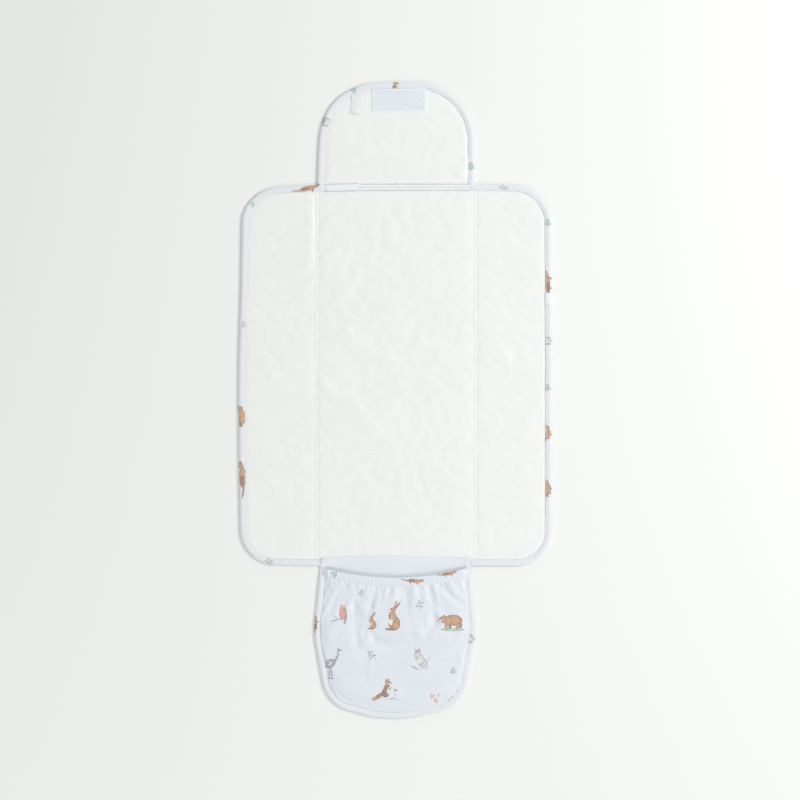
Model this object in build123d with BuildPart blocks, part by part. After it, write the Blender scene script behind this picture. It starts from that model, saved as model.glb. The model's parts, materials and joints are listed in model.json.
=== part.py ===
from build123d import *
import os

# A fold-out changing pad: a quilted mat of nine cells, a closing flap at its head and a gathered
# pocket at its foot. Seen from above, head end towards +Y, it lies open with its lining side up.
# The origin is on the floor, under the middle of the whole length. All sizes are in millimetres.

# Mat outline and its fold lines
mat_width = 484
mat_head = 335
mat_foot = -257
mat_corner = 55
fold_x = 123
upper_fold_y = 123
lower_fold_y = -76
seam_width = 6
seam_clearance = 0.4

# Layers of a cell, from the floor up
binding_leg = 0.5
outer_top = 1.0
wadding_top = 3.1
lining_top = 3.5
mat_thickness = 4.0
seam_height = 2.4

# Bias binding round every edge
binding_width = 10
binding_web = 0.5
binding_clearance = 0.3
wadding_inset = 3

# Closing flap
flap_width = 245
flap_head = 493
flap_corner = 92
flap_fold_y = 340
flap_root = 343

# Touch fastener and care label
hook_width = 84
hook_length = 35
hook_x = 5
hook_thickness = 1.2
loop_width = 104
loop_length = 50
loop_thickness = 0.5
tape_corner = 2
label_width = 16
label_length = 30
label_thickness = 0.3
label_x = -62.5
label_tilt = -8
label_drop = 8

# Gathered pocket
pocket_fold_y = -270
pocket_gap = 0.5
pocket_foot = -493
pocket_root_width = 231
pocket_widest = 252
pocket_widest_y = -360
pocket_widest_round = 150
pocket_foot_width = 212
pocket_foot_rise = 22
pocket_corner = 56
pocket_lining_top = 1.4
pocket_hem_top = 2.2
pocket_edge_thickness = 2.7
pocket_height = 9
pocket_wall = 0.8
pocket_slope = 45
pocket_hem_width = binding_width + 2

# Elasticated mouth: an arc that dips towards the pocket in the middle
mouth_dip_y = -274.5
mouth_radius = 404
casing_width = 14
casing_thickness = 2.4
elastic_width = 8
elastic_thickness = 1.0

mat_length = mat_head - mat_foot
mat_middle_y = (mat_head + mat_foot) / 2

# Each cell's column and row, from fold line to fold line; the outer ones run past the mat's edge
columns = {
    "left": (-mat_width, -fold_x),
    "centre": (-fold_x, fold_x),
    "right": (fold_x, mat_width),
}
rows = {
    "upper": (upper_fold_y, mat_length),
    "middle": (lower_fold_y, upper_fold_y),
    "lower": (-mat_length, lower_fold_y),
}
cells = [(row, column) for row in rows for column in columns]

os.makedirs("parts", exist_ok=True)


def save(name, piece):
    """Label a finished piece and write it under its own name."""
    piece.part.label = name
    export_step(piece.part, f"parts/{name}.step")


def mat_shape(inset=0):
    """The whole mat's outline, drawn inset from its edge."""
    with BuildSketch() as shape:
        with Locations((0, mat_middle_y)):
            RectangleRounded(mat_width - 2 * inset, mat_length - 2 * inset, mat_corner - inset)
    return shape.sketch


def flap_shape(inset=0):
    """The flap's tongue, straight across its root and drawn inset from its other edges."""
    reach = flap_head - flap_root - inset
    with BuildSketch() as shape:
        with Locations((0, flap_root)):
            RectangleRounded(flap_width - 2 * inset, 2 * reach, flap_corner - inset)
        with Locations((0, flap_root + reach)):
            Rectangle(flap_width, 2 * reach, mode=Mode.INTERSECT)
    return shape.sketch


def pocket_shape(inset=0, root_y=pocket_fold_y - pocket_gap):
    """The pocket's pear outline, straight across at root_y and drawn inset from its other edges."""
    root = pocket_root_width / 2 - inset
    widest = pocket_widest / 2 - inset
    foot = pocket_foot_width / 2 - inset
    foot_y = pocket_foot + inset
    with BuildSketch() as shape:
        with BuildLine():
            Polyline(
                (foot, foot_y + pocket_foot_rise),
                (widest, pocket_widest_y),
                (root, mat_foot),
                (-root, mat_foot),
                (-widest, pocket_widest_y),
                (-foot, foot_y + pocket_foot_rise),
            )
            ThreePointArc(
                (-foot, foot_y + pocket_foot_rise),
                (0, foot_y),
                (foot, foot_y + pocket_foot_rise),
            )
        make_face()
        corners = shape.vertices().group_by(Axis.Y)
        fillet(corners[0], pocket_corner - inset)
        sides = shape.vertices().filter_by_position(Axis.Y, pocket_widest_y - 1, pocket_widest_y + 1)
        fillet(sides, pocket_widest_round)
        with Locations((0, root_y + pocket_foot)):
            Rectangle(mat_width, -2 * pocket_foot, mode=Mode.INTERSECT)
    return shape.sketch


def cell_window(row, column):
    """The room that one cell has between its fold seams, as a plain rectangle."""
    x0, x1 = columns[column]
    y0, y1 = rows[row]
    with BuildSketch() as shape:
        with Locations(((x0 + x1) / 2, (y0 + y1) / 2)):
            Rectangle(x1 - x0 - seam_width, y1 - y0 - seam_width)
    return shape.sketch


def cell_shape(row, column, inset):
    """One cell of the mat, drawn inset from the mat's edge."""
    with BuildSketch() as shape:
        add(mat_shape(inset))
        add(cell_window(row, column), mode=Mode.INTERSECT)
    return shape.sketch


def layer(shape, bottom, top):
    """One flat sheet between two heights."""
    with BuildPart() as sheet:
        with BuildSketch(Plane.XY.offset(bottom)):
            add(shape)
        extrude(amount=top - bottom)
    return sheet


def outer_sheet(edge_shape, open_shape):
    """The outer fabric: its edge lies on the binding's lower leg and the rest on the floor."""
    with BuildPart() as sheet:
        with BuildSketch(Plane.XY.offset(binding_leg)):
            add(edge_shape)
        extrude(amount=outer_top - binding_leg)
        with BuildSketch():
            add(open_shape)
        extrude(amount=binding_leg)
    return sheet


def binding_strip(edge_shape, inner_shape, channel_shape, thickness):
    """A bias binding folded round an edge: a web on the outside and a leg above and below."""
    with BuildPart() as strip:
        with BuildSketch():
            add(edge_shape)
            add(inner_shape, mode=Mode.SUBTRACT)
        extrude(amount=thickness)
        with BuildSketch(Plane.XY.offset(binding_leg)):
            add(channel_shape)
        extrude(amount=thickness - 2 * binding_leg, mode=Mode.SUBTRACT)
    return strip


# Loop tape, let into the underside where the closed flap lands on the folded pad's outside
hook_y = flap_head - binding_width - binding_clearance - hook_length / 2
loop_y = 2 * upper_fold_y - (2 * flap_fold_y - hook_y)
with BuildPart() as loop_tape:
    with BuildSketch():
        with Locations((hook_x, loop_y)):
            RectangleRounded(loop_width, loop_length, tape_corner)
    extrude(amount=loop_thickness)
save("loop_tape", loop_tape)

# The nine cells: printed outer, wadding and wipeable lining
for row, column in cells:
    name = f"{row}_{column}"
    edge = cell_shape(row, column, binding_web)
    outer = outer_sheet(edge, cell_shape(row, column, binding_width + binding_clearance))
    if name == "middle_centre":
        with BuildPart() as seated_outer:
            add(outer.part)
            add(loop_tape.part, mode=Mode.SUBTRACT)
        outer = seated_outer
    save(f"outer_{name}", outer)
    save(f"wadding_{name}", layer(cell_shape(row, column, wadding_inset), outer_top, wadding_top))
    save(f"lining_{name}", layer(edge, wadding_top, lining_top))

# The mat's binding, one length to each cell that has an outside edge
for row, column in cells:
    if (row, column) == ("middle", "centre"):
        continue
    edge, inner, channel = (cell_shape(row, column, i) for i in (0, binding_width, binding_web))
    save(f"binding_{row}_{column}", binding_strip(edge, inner, channel, mat_thickness))

# Fold seams: the layers stitched down flat between two cells. Each one stays with the cell that
# the other cell turns on, and stops clear of the one that turns.
seam_room = seam_width / 2 - seam_clearance
seam_edge = binding_width + binding_clearance


def seam_group(row, column, beside, below):
    """The seams that one cell carries: at its sides (-1 left, 1 right), and below it if asked."""
    x0, x1 = columns[column]
    y0, y1 = rows[row]
    with BuildPart() as group:
        with BuildSketch():
            for side in beside:
                with Locations((side * fold_x, (y0 + y1) / 2)):
                    Rectangle(2 * seam_room, y1 - y0 - seam_width)
            if below:
                with Locations(((x0 + x1) / 2, y0)):
                    Rectangle(x1 - x0 - seam_width, 2 * seam_room)
            add(mat_shape(seam_edge), mode=Mode.INTERSECT)
        extrude(amount=seam_height)
    return group


save("fold_seams_upper_centre", seam_group("upper", "centre", (-1, 1), True))
save("fold_seams_middle_centre", seam_group("middle", "centre", (-1, 1), True))
save("fold_seams_lower_centre", seam_group("lower", "centre", (-1, 1), False))
for row in ("upper", "middle"):
    for column in ("left", "right"):
        save(f"fold_seam_{row}_{column}", seam_group(row, column, (), True))

# Closing flap
flap_edge = flap_shape(binding_web)
save("flap_outer", outer_sheet(flap_edge, flap_shape(binding_width + binding_clearance)))
save("flap_wadding", layer(flap_shape(wadding_inset), outer_top, wadding_top))
save("flap_lining", layer(flap_edge, wadding_top, lining_top))
save("flap_binding", binding_strip(flap_shape(), flap_shape(binding_width), flap_edge, mat_thickness))

with BuildPart() as flap_fold_seam:
    with BuildSketch():
        with Locations((0, (mat_head + flap_root) / 2)):
            Rectangle(flap_width - 2 * binding_width, flap_root - mat_head - 2 * seam_clearance)
    extrude(amount=seam_height)
save("flap_fold_seam", flap_fold_seam)

with BuildPart() as hook_tape:
    with BuildSketch(Plane.XY.offset(lining_top)):
        with Locations((hook_x, hook_y)):
            RectangleRounded(hook_width, hook_length, tape_corner)
    extrude(amount=hook_thickness)
save("hook_tape", hook_tape)

with BuildPart() as care_label:
    with BuildSketch(Plane.XY.offset(lining_top)):
        with Locations((label_x, flap_head - binding_width - label_drop - label_length / 2)):
            Rectangle(label_width, label_length, rotation=label_tilt)
        add(flap_shape(binding_width + binding_clearance), mode=Mode.INTERSECT)
    extrude(amount=label_thickness)
save("care_label", care_label)

# Pocket: a strip of its back stays with the mat, and the rest folds back along pocket_fold_y
with BuildPart() as pocket_root_panel:
    with BuildSketch():
        with Locations((0, (mat_foot + pocket_fold_y) / 2)):
            Rectangle(pocket_root_width, mat_foot - pocket_fold_y - 2 * pocket_gap)
    extrude(amount=outer_top)
save("pocket_root_panel", pocket_root_panel)

pocket_edge = pocket_shape(binding_web)
pocket_inside = pocket_shape(binding_width + binding_clearance)
save("pocket_back_outer", outer_sheet(pocket_edge, pocket_inside))
save("pocket_back_lining", layer(pocket_edge, outer_top, pocket_lining_top))
save(
    "pocket_binding",
    binding_strip(pocket_shape(), pocket_shape(binding_width), pocket_edge, pocket_edge_thickness),
)


# Heights and insets of the casing along the mouth; the fabric's sides rise at 45 degrees, so each
# millimetre up is also a millimetre in
casing_bottom = pocket_height - casing_thickness
casing_inset = pocket_hem_width + casing_bottom - pocket_hem_top
tunnel_bottom = casing_bottom + (casing_thickness - elastic_thickness) / 2
tunnel_start = (casing_width - elastic_width) / 2
tunnel_inset = casing_inset + casing_thickness + pocket_wall


def mouth_band(start, stop, inset):
    """A band of the pocket between two distances from the mouth's edge, following its arc."""
    with BuildSketch() as band:
        add(pocket_shape(inset, mat_foot - 1))
        with Locations((0, mouth_dip_y + mouth_radius)):
            Circle(mouth_radius + stop, mode=Mode.INTERSECT)
            Circle(mouth_radius + start, mode=Mode.SUBTRACT)
    return band.sketch


elastic_shape = mouth_band(tunnel_start, tunnel_start + elastic_width, tunnel_inset)
save("mouth_elastic", layer(elastic_shape, tunnel_bottom, tunnel_bottom + elastic_thickness))

with BuildPart() as pocket_front:
    # a flat hem under the binding, and the fabric that stands up inside it
    with BuildSketch(Plane.XY.offset(pocket_lining_top)):
        add(pocket_shape(binding_web, mat_foot - 1))
    extrude(amount=pocket_hem_top - pocket_lining_top)
    with BuildSketch(Plane.XY.offset(pocket_hem_top)):
        add(pocket_shape(pocket_hem_width, mat_foot - 1))
    extrude(amount=pocket_height - pocket_hem_top, taper=pocket_slope)
    # the room inside
    with BuildSketch(Plane.XY.offset(pocket_lining_top)):
        add(pocket_shape(pocket_hem_width + pocket_wall, mat_foot + pocket_height))
    extrude(amount=pocket_height - pocket_hem_top, taper=pocket_slope, mode=Mode.SUBTRACT)
    # the open mouth
    with BuildSketch():
        with Locations((0, mouth_dip_y + mouth_radius)):
            Circle(mouth_radius)
    extrude(amount=pocket_height, mode=Mode.SUBTRACT)
    # the casing along the mouth, with the elastic's tunnel
    with BuildSketch(Plane.XY.offset(casing_bottom)):
        add(mouth_band(0, casing_width, casing_inset))
    extrude(amount=casing_thickness, taper=pocket_slope)
    with BuildSketch(Plane.XY.offset(tunnel_bottom)):
        add(elastic_shape)
    extrude(amount=elastic_thickness, mode=Mode.SUBTRACT)
save("pocket_front", pocket_front)
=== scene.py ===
import json
import math

import bpy
import numpy as np
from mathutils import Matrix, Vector, noise


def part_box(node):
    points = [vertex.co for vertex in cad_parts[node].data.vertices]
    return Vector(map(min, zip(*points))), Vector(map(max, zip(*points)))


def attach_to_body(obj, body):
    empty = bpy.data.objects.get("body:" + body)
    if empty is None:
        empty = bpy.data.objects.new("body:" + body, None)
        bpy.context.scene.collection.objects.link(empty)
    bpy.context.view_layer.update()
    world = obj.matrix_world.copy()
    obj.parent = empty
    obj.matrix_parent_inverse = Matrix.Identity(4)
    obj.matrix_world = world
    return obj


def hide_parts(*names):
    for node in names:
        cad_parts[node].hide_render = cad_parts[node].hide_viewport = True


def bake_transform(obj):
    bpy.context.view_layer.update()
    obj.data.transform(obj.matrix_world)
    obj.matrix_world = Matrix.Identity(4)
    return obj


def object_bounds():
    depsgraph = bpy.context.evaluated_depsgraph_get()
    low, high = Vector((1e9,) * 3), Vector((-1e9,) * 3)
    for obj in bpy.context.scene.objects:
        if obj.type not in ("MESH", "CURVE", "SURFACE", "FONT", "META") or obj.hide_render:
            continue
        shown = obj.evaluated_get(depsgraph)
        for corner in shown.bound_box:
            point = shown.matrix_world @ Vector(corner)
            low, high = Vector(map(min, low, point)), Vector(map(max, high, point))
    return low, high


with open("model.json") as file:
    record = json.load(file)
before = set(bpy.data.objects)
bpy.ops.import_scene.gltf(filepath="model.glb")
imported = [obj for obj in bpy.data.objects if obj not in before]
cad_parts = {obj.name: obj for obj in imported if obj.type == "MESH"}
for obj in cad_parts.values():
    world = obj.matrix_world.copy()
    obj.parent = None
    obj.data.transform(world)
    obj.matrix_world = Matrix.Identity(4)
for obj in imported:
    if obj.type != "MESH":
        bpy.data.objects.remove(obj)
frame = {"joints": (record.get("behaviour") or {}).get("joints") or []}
cad_low, cad_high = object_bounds()

# The looks of the fold-out changing pad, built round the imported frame.
# Sizes are in millimetres, in the frame's own axes, and new_piece() turns them into metres.
MM = 0.001


def box_mm(node):
    """A CAD node's lowest and highest corner, in millimetres."""
    low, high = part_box(node)
    return np.array(low) / MM, np.array(high) / MM


# ---------------------------------------------------------------- places from the frame
joint_at = {j["name"]: np.array(j["pos_m"]) / MM for j in frame["joints"]}
FOLD_X = joint_at["right_fold"][0]
UPPER_Y = joint_at["upper_fold"][1]
LOWER_Y = joint_at["lower_fold"][1]
FLAP_FOLD_Y = joint_at["flap_fold"][1]
POCKET_FOLD_Y = joint_at["pocket_fold"][1]
MAT_RIGHT = box_mm("binding_middle_right")[1][0]
MAT_HEAD = box_mm("binding_upper_centre")[1][1]
MAT_FOOT = box_mm("binding_lower_centre")[0][1]
FLAP_RIGHT = box_mm("flap_binding")[1][0]
FLAP_HEAD = box_mm("flap_binding")[1][1]
POCKET_RIGHT = box_mm("pocket_binding")[1][0]
POCKET_FOOT = box_mm("pocket_binding")[0][1]
POCKET_ROOT = box_mm("pocket_root_panel")[1][0]
MAT_CORNER = 55
FLAP_CORNER = 92
BINDING = 10

ROWS = {
    "upper": (UPPER_Y, MAT_HEAD),
    "middle": (LOWER_Y, UPPER_Y),
    "lower": (MAT_FOOT, LOWER_Y),
}
SIDE_HALF = 6.5  # each side of an upright fold line, the cloth that bends as it folds
LEVEL_HALF = {"upper": 12, "lower": 9}  # and each side of a level one
FOLD_STEP = 1.0  # between the points of a binding that bends at a fold
STITCH_ROW = 2.1  # each side of an upright fold line, its two rows of stitching
LEVEL_STITCH = (3.2, 2.4, 0.45)  # pitch, length and width of a level fold line's stitches
GRID_STEP = 2.3  # between the points of the mat's and the flap's surfaces
SEWN_TOP = 2.5  # height of the mat's lining where it is sewn down
LINING_MOST = 3.4  # and where its creases start to be pressed flat
UNDER_TOP = 1.2  # how far the underside is drawn up at a seam
LEAST_THICK = 1.0  # of the quilt, anywhere
LINING_THICK = 0.35
OUTER_THICK = 0.5
BETWEEN = 0.05  # from either cloth to the wadding
BOUND_TOP = 3.5  # height of the mat's binding
TUCKED = 1.2  # how far a cloth's edge stays inside the binding's fold


# ---------------------------------------------------------------- mesh helpers
def new_piece(name, verts, faces, materials, face_material=None, uv=None, crease=50):
    """A mesh object from points in millimetres, with flat cloth coordinates as its UV map."""
    mesh = bpy.data.meshes.new(name)
    mesh.from_pydata((np.asarray(verts, float) * MM).tolist(), [], [list(map(int, f)) for f in faces])
    for material in materials:
        mesh.materials.append(material)
    if face_material is not None:
        mesh.polygons.foreach_set("material_index", np.asarray(face_material, np.int32))
    mesh.polygons.foreach_set("use_smooth", [True] * len(mesh.polygons))
    mesh.set_sharp_from_angle(angle=math.radians(crease))
    layer = mesh.uv_layers.new(name="flat")
    flat = np.asarray(verts if uv is None else uv, float)[:, :2]
    corners = np.zeros(len(mesh.loops), np.int32)
    mesh.loops.foreach_get("vertex_index", corners)
    layer.data.foreach_set("uv", flat[corners].astype(np.float32).ravel())
    mesh.update()
    piece = bpy.data.objects.new(name, mesh)
    bpy.context.scene.collection.objects.link(piece)
    return piece


def attach(piece, where, node=None):
    """Hang a piece on the frame and, if it stands for a CAD node, hide that node.
    where is the body it rides on, or (two bodies, start, end) for a piece across a fold, which is left where
    it lies."""
    if isinstance(where, str):
        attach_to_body(piece, where)
    else:
        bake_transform(piece)
    if node:
        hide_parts(node)


def grid_squares(n, m):
    """The four point numbers of each square in a grid of n by m points."""
    index = np.arange(n * m).reshape(n, m)
    return np.stack([index[:-1, :-1], index[1:, :-1], index[1:, 1:], index[:-1, 1:]], -1)


def whole_squares(inside):
    """The squares of a grid that have all four corners inside."""
    return inside[:-1, :-1] & inside[1:, :-1] & inside[1:, 1:] & inside[:-1, 1:]


def down(points, by):
    """Points lowered."""
    moved = np.array(points)
    moved[..., 2] -= by
    return moved


def slab(name, top, bottom, materials, keep=None, uv=None):
    """A closed sheet between two grids of points. keep says which squares of the grid are there;
    the second material, if there is one, is the underside's."""
    n, m = top.shape[:2]
    squares = grid_squares(n, m)
    squares = squares.reshape(-1, 4) if keep is None else squares[keep]
    edges = {(int(a), int(b)) for a, b in np.concatenate([squares[:, [k, (k + 1) % 4]] for k in range(4)])}
    below = n * m
    walls = [(b, a, a + below, b + below) for a, b in sorted(edges) if (b, a) not in edges]
    faces = np.concatenate([squares, squares[:, ::-1] + below, np.array(walls)])
    used = np.unique(faces)
    renumber = np.zeros(2 * below, int)
    renumber[used] = np.arange(len(used))
    verts = np.concatenate([top.reshape(-1, 3), bottom.reshape(-1, 3)])[used]
    flat = top if uv is None else uv
    flat = np.concatenate([flat.reshape(below, -1)[:, :2]] * 2)[used]
    face_material = np.zeros(len(faces), int)
    if len(materials) > 1:
        face_material[len(squares):2 * len(squares)] = 1
    return new_piece(name, verts, renumber[faces], materials, face_material, flat)


def rough(x, y, size, seed=0.0):
    """Smooth noise between -1 and 1, with features about size millimetres across."""
    values = [noise.noise(Vector((a / size, b / size, seed))) for a, b in zip(np.ravel(x), np.ravel(y))]
    return np.reshape(values, np.shape(x))


def lines(stops, step):
    """Grid lines through every stop, about step apart."""
    stops = sorted(stops)
    runs = [np.linspace(a, b, max(1, round((b - a) / step)) + 1)[:-1] for a, b in zip(stops, stops[1:])]
    return np.concatenate([*runs, [stops[-1]]])


def inside_corner(x, y, right, head, foot, radius):
    """How far inside a rounded rectangle's edge each point is; negative outside."""
    middle, half = (head + foot) / 2, (head - foot) / 2
    dx = np.abs(x) - (right - radius)
    dy = np.abs(y - middle) - (half - radius)
    outside = np.hypot(np.maximum(dx, 0), np.maximum(dy, 0))
    return radius - (outside + np.minimum(np.maximum(dx, dy), 0))


def rounded_path(points, radii, step=3.0):
    """Points about step apart along straight runs joined by arcs, and the unit normals on their right."""
    points = [np.array(p, float) for p in points]
    out = [points[0]]
    for before, corner, after, radius in zip(points, points[1:], points[2:], radii):
        u = (before - corner) / np.linalg.norm(before - corner)
        v = (after - corner) / np.linalg.norm(after - corner)
        half = math.acos(np.clip(u @ v, -1, 1)) / 2
        reach = radius / math.tan(half)
        centre = corner + (u + v) / np.linalg.norm(u + v) * radius / math.sin(half)
        start, stop = corner + u * reach - centre, corner + v * reach - centre
        turn = math.atan2(start[0] * stop[1] - start[1] * stop[0], start @ stop)
        count = max(2, round(abs(turn) * radius / step))
        for k in range(count + 1):
            c, s = math.cos(turn * k / count), math.sin(turn * k / count)
            out.append(centre + np.array([start[0] * c - start[1] * s, start[0] * s + start[1] * c]))
    out.append(points[-1])
    fine = [out[0]]
    for a, b in zip(out, out[1:]):
        gap = np.linalg.norm(b - a)
        if gap > 1e-6:
            count = max(1, round(gap / step))
            fine += [a + (b - a) * k / count for k in range(1, count + 1)]
    fine = np.array(fine)
    ahead = np.gradient(fine, axis=0)
    ahead /= np.linalg.norm(ahead, axis=1)[:, None]
    return fine, np.stack([ahead[:, 1], -ahead[:, 0]], -1)


def settle(verts):
    """How the real cloth lies a little off its pattern: soft shifts round a few places."""
    verts = np.array(verts, float)
    shift = np.zeros_like(verts[..., :2])
    for x, y, reach, dx, dy in SETTLING:
        share = np.exp(-((verts[..., 0] - x) ** 2 + (verts[..., 1] - y) ** 2) / reach**2)
        shift += share[..., None] * np.array([dx, dy])
    verts[..., :2] += shift
    return verts


# Where the open pad lies off its pattern: x, y, reach, and the shift there
SETTLING = [
    (-MAT_RIGHT, MAT_HEAD, 90, 3, -7),
    (-MAT_RIGHT, MAT_FOOT, 80, 2, 2),
    (MAT_RIGHT, MAT_HEAD, 70, -2, -3),
    (-MAT_RIGHT, 20, 120, -1.5, 0),
    (0, -390, 110, -4, 0),
    (-MAT_RIGHT, 210, 110, 2.5, 0),
    (-FLAP_RIGHT, 430, 60, 4, 0),
    (-70, FLAP_HEAD, 40, 0, -2.5),
]


# ---------------------------------------------------------------- the mat's surface
def seam_distance(x, y):
    """Distance to the nearest seam, as (any seam, upright fold, level fold, binding's edge)."""
    upright = np.abs(np.abs(x) - FOLD_X)
    level = np.minimum(np.abs(y - UPPER_Y), np.abs(y - LOWER_Y))
    edge = inside_corner(x, y, MAT_RIGHT, MAT_HEAD, MAT_FOOT, MAT_CORNER) - BINDING
    return np.minimum(np.minimum(upright, level), np.maximum(edge, 0)), upright, level, edge


def along_points(x, y, points):
    """Distance to a run of points, the side of it, and the share of its length."""
    points = np.array(points, float)
    steps = np.linalg.norm(np.diff(points, axis=0), axis=1)
    starts = np.concatenate([[0], np.cumsum(steps)])
    near, side, share = np.full(np.shape(x), 1e9), np.zeros(np.shape(x)), np.zeros(np.shape(x))
    for (ax, ay), (bx, by), start, step in zip(points, points[1:], starts, steps):
        ux, uy = bx - ax, by - ay
        t = np.clip(((x - ax) * ux + (y - ay) * uy) / step**2, 0, 1)
        px, py = x - ax - t * ux, y - ay - t * uy
        d = np.hypot(px, py)
        closer = d < near
        near = np.where(closer, d, near)
        side = np.where(closer, np.sign(ux * py - uy * px), side)
        share = np.where(closer, (start + t * step) / starts[-1], share)
    return near, side, share


def crease(x, y, points, width, height):
    """A crease along a few points: steep on its left, easing away on its right, dying out at both ends."""
    near, side, share = along_points(x, y, points)
    profile = np.where(side > 0, np.exp(-((near / width) ** 2)), np.exp(-((near / (3.2 * width)) ** 2)))
    return height * profile * np.sin(np.clip(share, 0.03, 0.97) * math.pi) ** 0.6


def puckers(x, y, run, depth, reach, wave, seed):
    """Small gathers square to a seam, in patches: run is the place along it, depth the distance from it."""
    patch = np.clip(0.45 + 1.3 * rough(x, y, 42, seed), 0, 1)
    fade = np.exp(-np.maximum(depth, 0) / (reach * (1 + 0.6 * rough(x, y, 26, seed + 0.5))))
    return np.sin(run * (2 * math.pi / wave) + 3 * rough(x, y, 30, seed + 0.7)) * patch * fade


# Creases in the lining, each with its points, half width and height
CREASES = [
    ([(-74, 121), (-73, 108), (-66, 93), (-46, 78), (-24, 70), (4, 63)], 4.42, 1.35),
    ([(30, 99), (48, 87), (66, 80), (90, 80), (118, 93)], 4.42, 1.08),
    ([(118, 72), (92, 68), (64, 56), (50, 50)], 4.42, 0.81),
    ([(-119, 40), (-100, 18), (-76, -2), (-64, -10)], 4.08, 0.945),
    ([(-104, 22), (-84, 14), (-66, 2), (-44, -28), (-20, -56), (-4, -72)], 4.76, 1.215),
    ([(40, 37), (56, 28), (76, 18)], 3.74, 0.945),
    ([(22, 32), (12, 10), (-6, -14), (-26, -28)], 5.44, 0.675),
    ([(84, 0), (70, -8), (58, -20)], 4.42, 0.54),
    ([(86, -66), (98, -58), (116, -54)], 3.74, 0.81),
    ([(-118, -52), (-104, -66), (-92, -72)], 3.74, 0.945),
    ([(-30, 136), (-8, 141), (16, 140)], 3.74, 0.945),
    ([(34, 146), (70, 142), (104, 148)], 4.42, 0.675),
    ([(-131.5, 320), (-130, 280), (-132, 240), (-137, 222)], 3.06, 1.215),
    ([(-120, 236), (-131, 218), (-146, 199)], 3.4, 1.08),
    ([(-118, 268), (-108, 278), (-98, 291)], 3.06, 0.945),
    ([(-116, 222), (-103, 228), (-91, 238)], 3.06, 1.215),
    ([(-57, 213), (-59, 194), (-68, 176), (-82, 158), (-98, 146)], 4.76, 0.81),
    ([(-72, 240), (-76, 218), (-90, 196)], 4.42, 0.54),
    ([(70, 215), (40, 205), (20, 180)], 5.44, 0.54),
    ([(150, 100), (172, 70), (176, 40)], 4.76, 0.675),
    ([(212, -40), (190, -20), (160, -5)], 4.76, 0.54),
    ([(-205, 60), (-180, 30), (-150, 10)], 4.76, 0.54),
    ([(-60, -100), (-40, -130), (-30, -170)], 4.76, 0.54),
    ([(60, -95), (85, -120), (110, -128)], 4.42, 0.675),
    ([(-210, -110), (-170, -150), (-150, -190)], 5.1, 0.54),
    ([(128, 60), (146, 70), (168, 72)], 3.74, 0.675),
    ([(128, -60), (140, -48), (160, -44)], 3.4, 0.675),
    ([(-128, -90), (-144, -98), (-160, -112)], 3.4, 0.675),
]


def pressed(z, most, give=0.8):
    """Heights above most, pressed down so that they never pass it by more than give."""
    return np.minimum(z, most + give * np.tanh((z - most) / give))


def lining_height(x, y):
    """The lining's height where it lies, before the cloth is let go."""
    upright, level, edge = seam_distance(x, y)[1:]
    below = np.where((y < UPPER_Y) & (y > (UPPER_Y + LOWER_Y) / 2) | (y < LOWER_Y), 2.0, 7.0)
    off = np.maximum(np.minimum(upright - STITCH_ROW, edge), 0)
    level_off = np.maximum(level - 0.5, 0)
    clear = np.minimum(off, level_off)
    z = SEWN_TOP + 0.55 * (1 - np.exp(-off / 4.5)) * (1 - np.exp(-level_off / below))
    z += 0.2 * (1 - np.exp(-clear / 30)) + 0.2 * rough(x, y, 75, 1.0) * (1 - np.exp(-clear / 20))
    z -= 0.35 * np.exp(-(((upright - STITCH_ROW) / 0.9) ** 2))  # drawn in by each upright row
    z += 0.25 * np.exp(-((upright / 1.6) ** 2))  # a low ridge between the two
    z += 0.6 * np.exp(-((level / 1.5) ** 2))  # and one along each level line
    return z


def finish_lining(x, y, z):
    """Puckers along the seams, creases, and the edge tucked down under the binding."""
    near, upright, level, edge = seam_distance(x, y)
    around = 250 * np.arctan2(y - (MAT_HEAD + MAT_FOOT) / 2, x)
    z = z + 0.24 * puckers(x, y, y, upright - STITCH_ROW, 4, 7.0, 5.0)
    z += 0.34 * puckers(x, y, x, level, 5, 7.0, 6.0)
    z += 0.36 * puckers(x, y, around, edge - 1, 6, 7.5, 7.0)
    for points, width, height in CREASES:
        z += crease(x, y, points, width, height) * (1 - np.exp(-near / 4))
    z = pressed(z, LINING_MOST)
    tuck = np.clip((2.0 - edge) / 4.0, 0, 1)
    return z * (1 - tuck) + 2.2 * tuck


def underside_height(x, y):
    """The outer fabric's lower face: drawn up at the seams, on the floor between them."""
    near, _, _, edge = seam_distance(x, y)
    z = UNDER_TOP * np.exp(-near / 9) + 0.25 * (1 + rough(x, y, 60, 11.0)) * (1 - np.exp(-near / 15))
    # flat round the loop tape, and level with the binding's lower leg at the edge
    low, high = box_mm("loop_tape")
    off = np.maximum(np.maximum(low[0] - x, x - high[0]), np.maximum(low[1] - y, y - high[1]))
    share = np.clip(1 - off / 14, 0, 1)
    z = z * (1 - share) + (low[2] + 0.75) * share
    return on_leg(z, edge)


def on_leg(z, edge):
    """An underside's height, led onto the binding's lower leg near the edge."""
    share = np.clip(edge / 12, 0, 1)
    return z * share + 0.55 * (1 - share)


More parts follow.
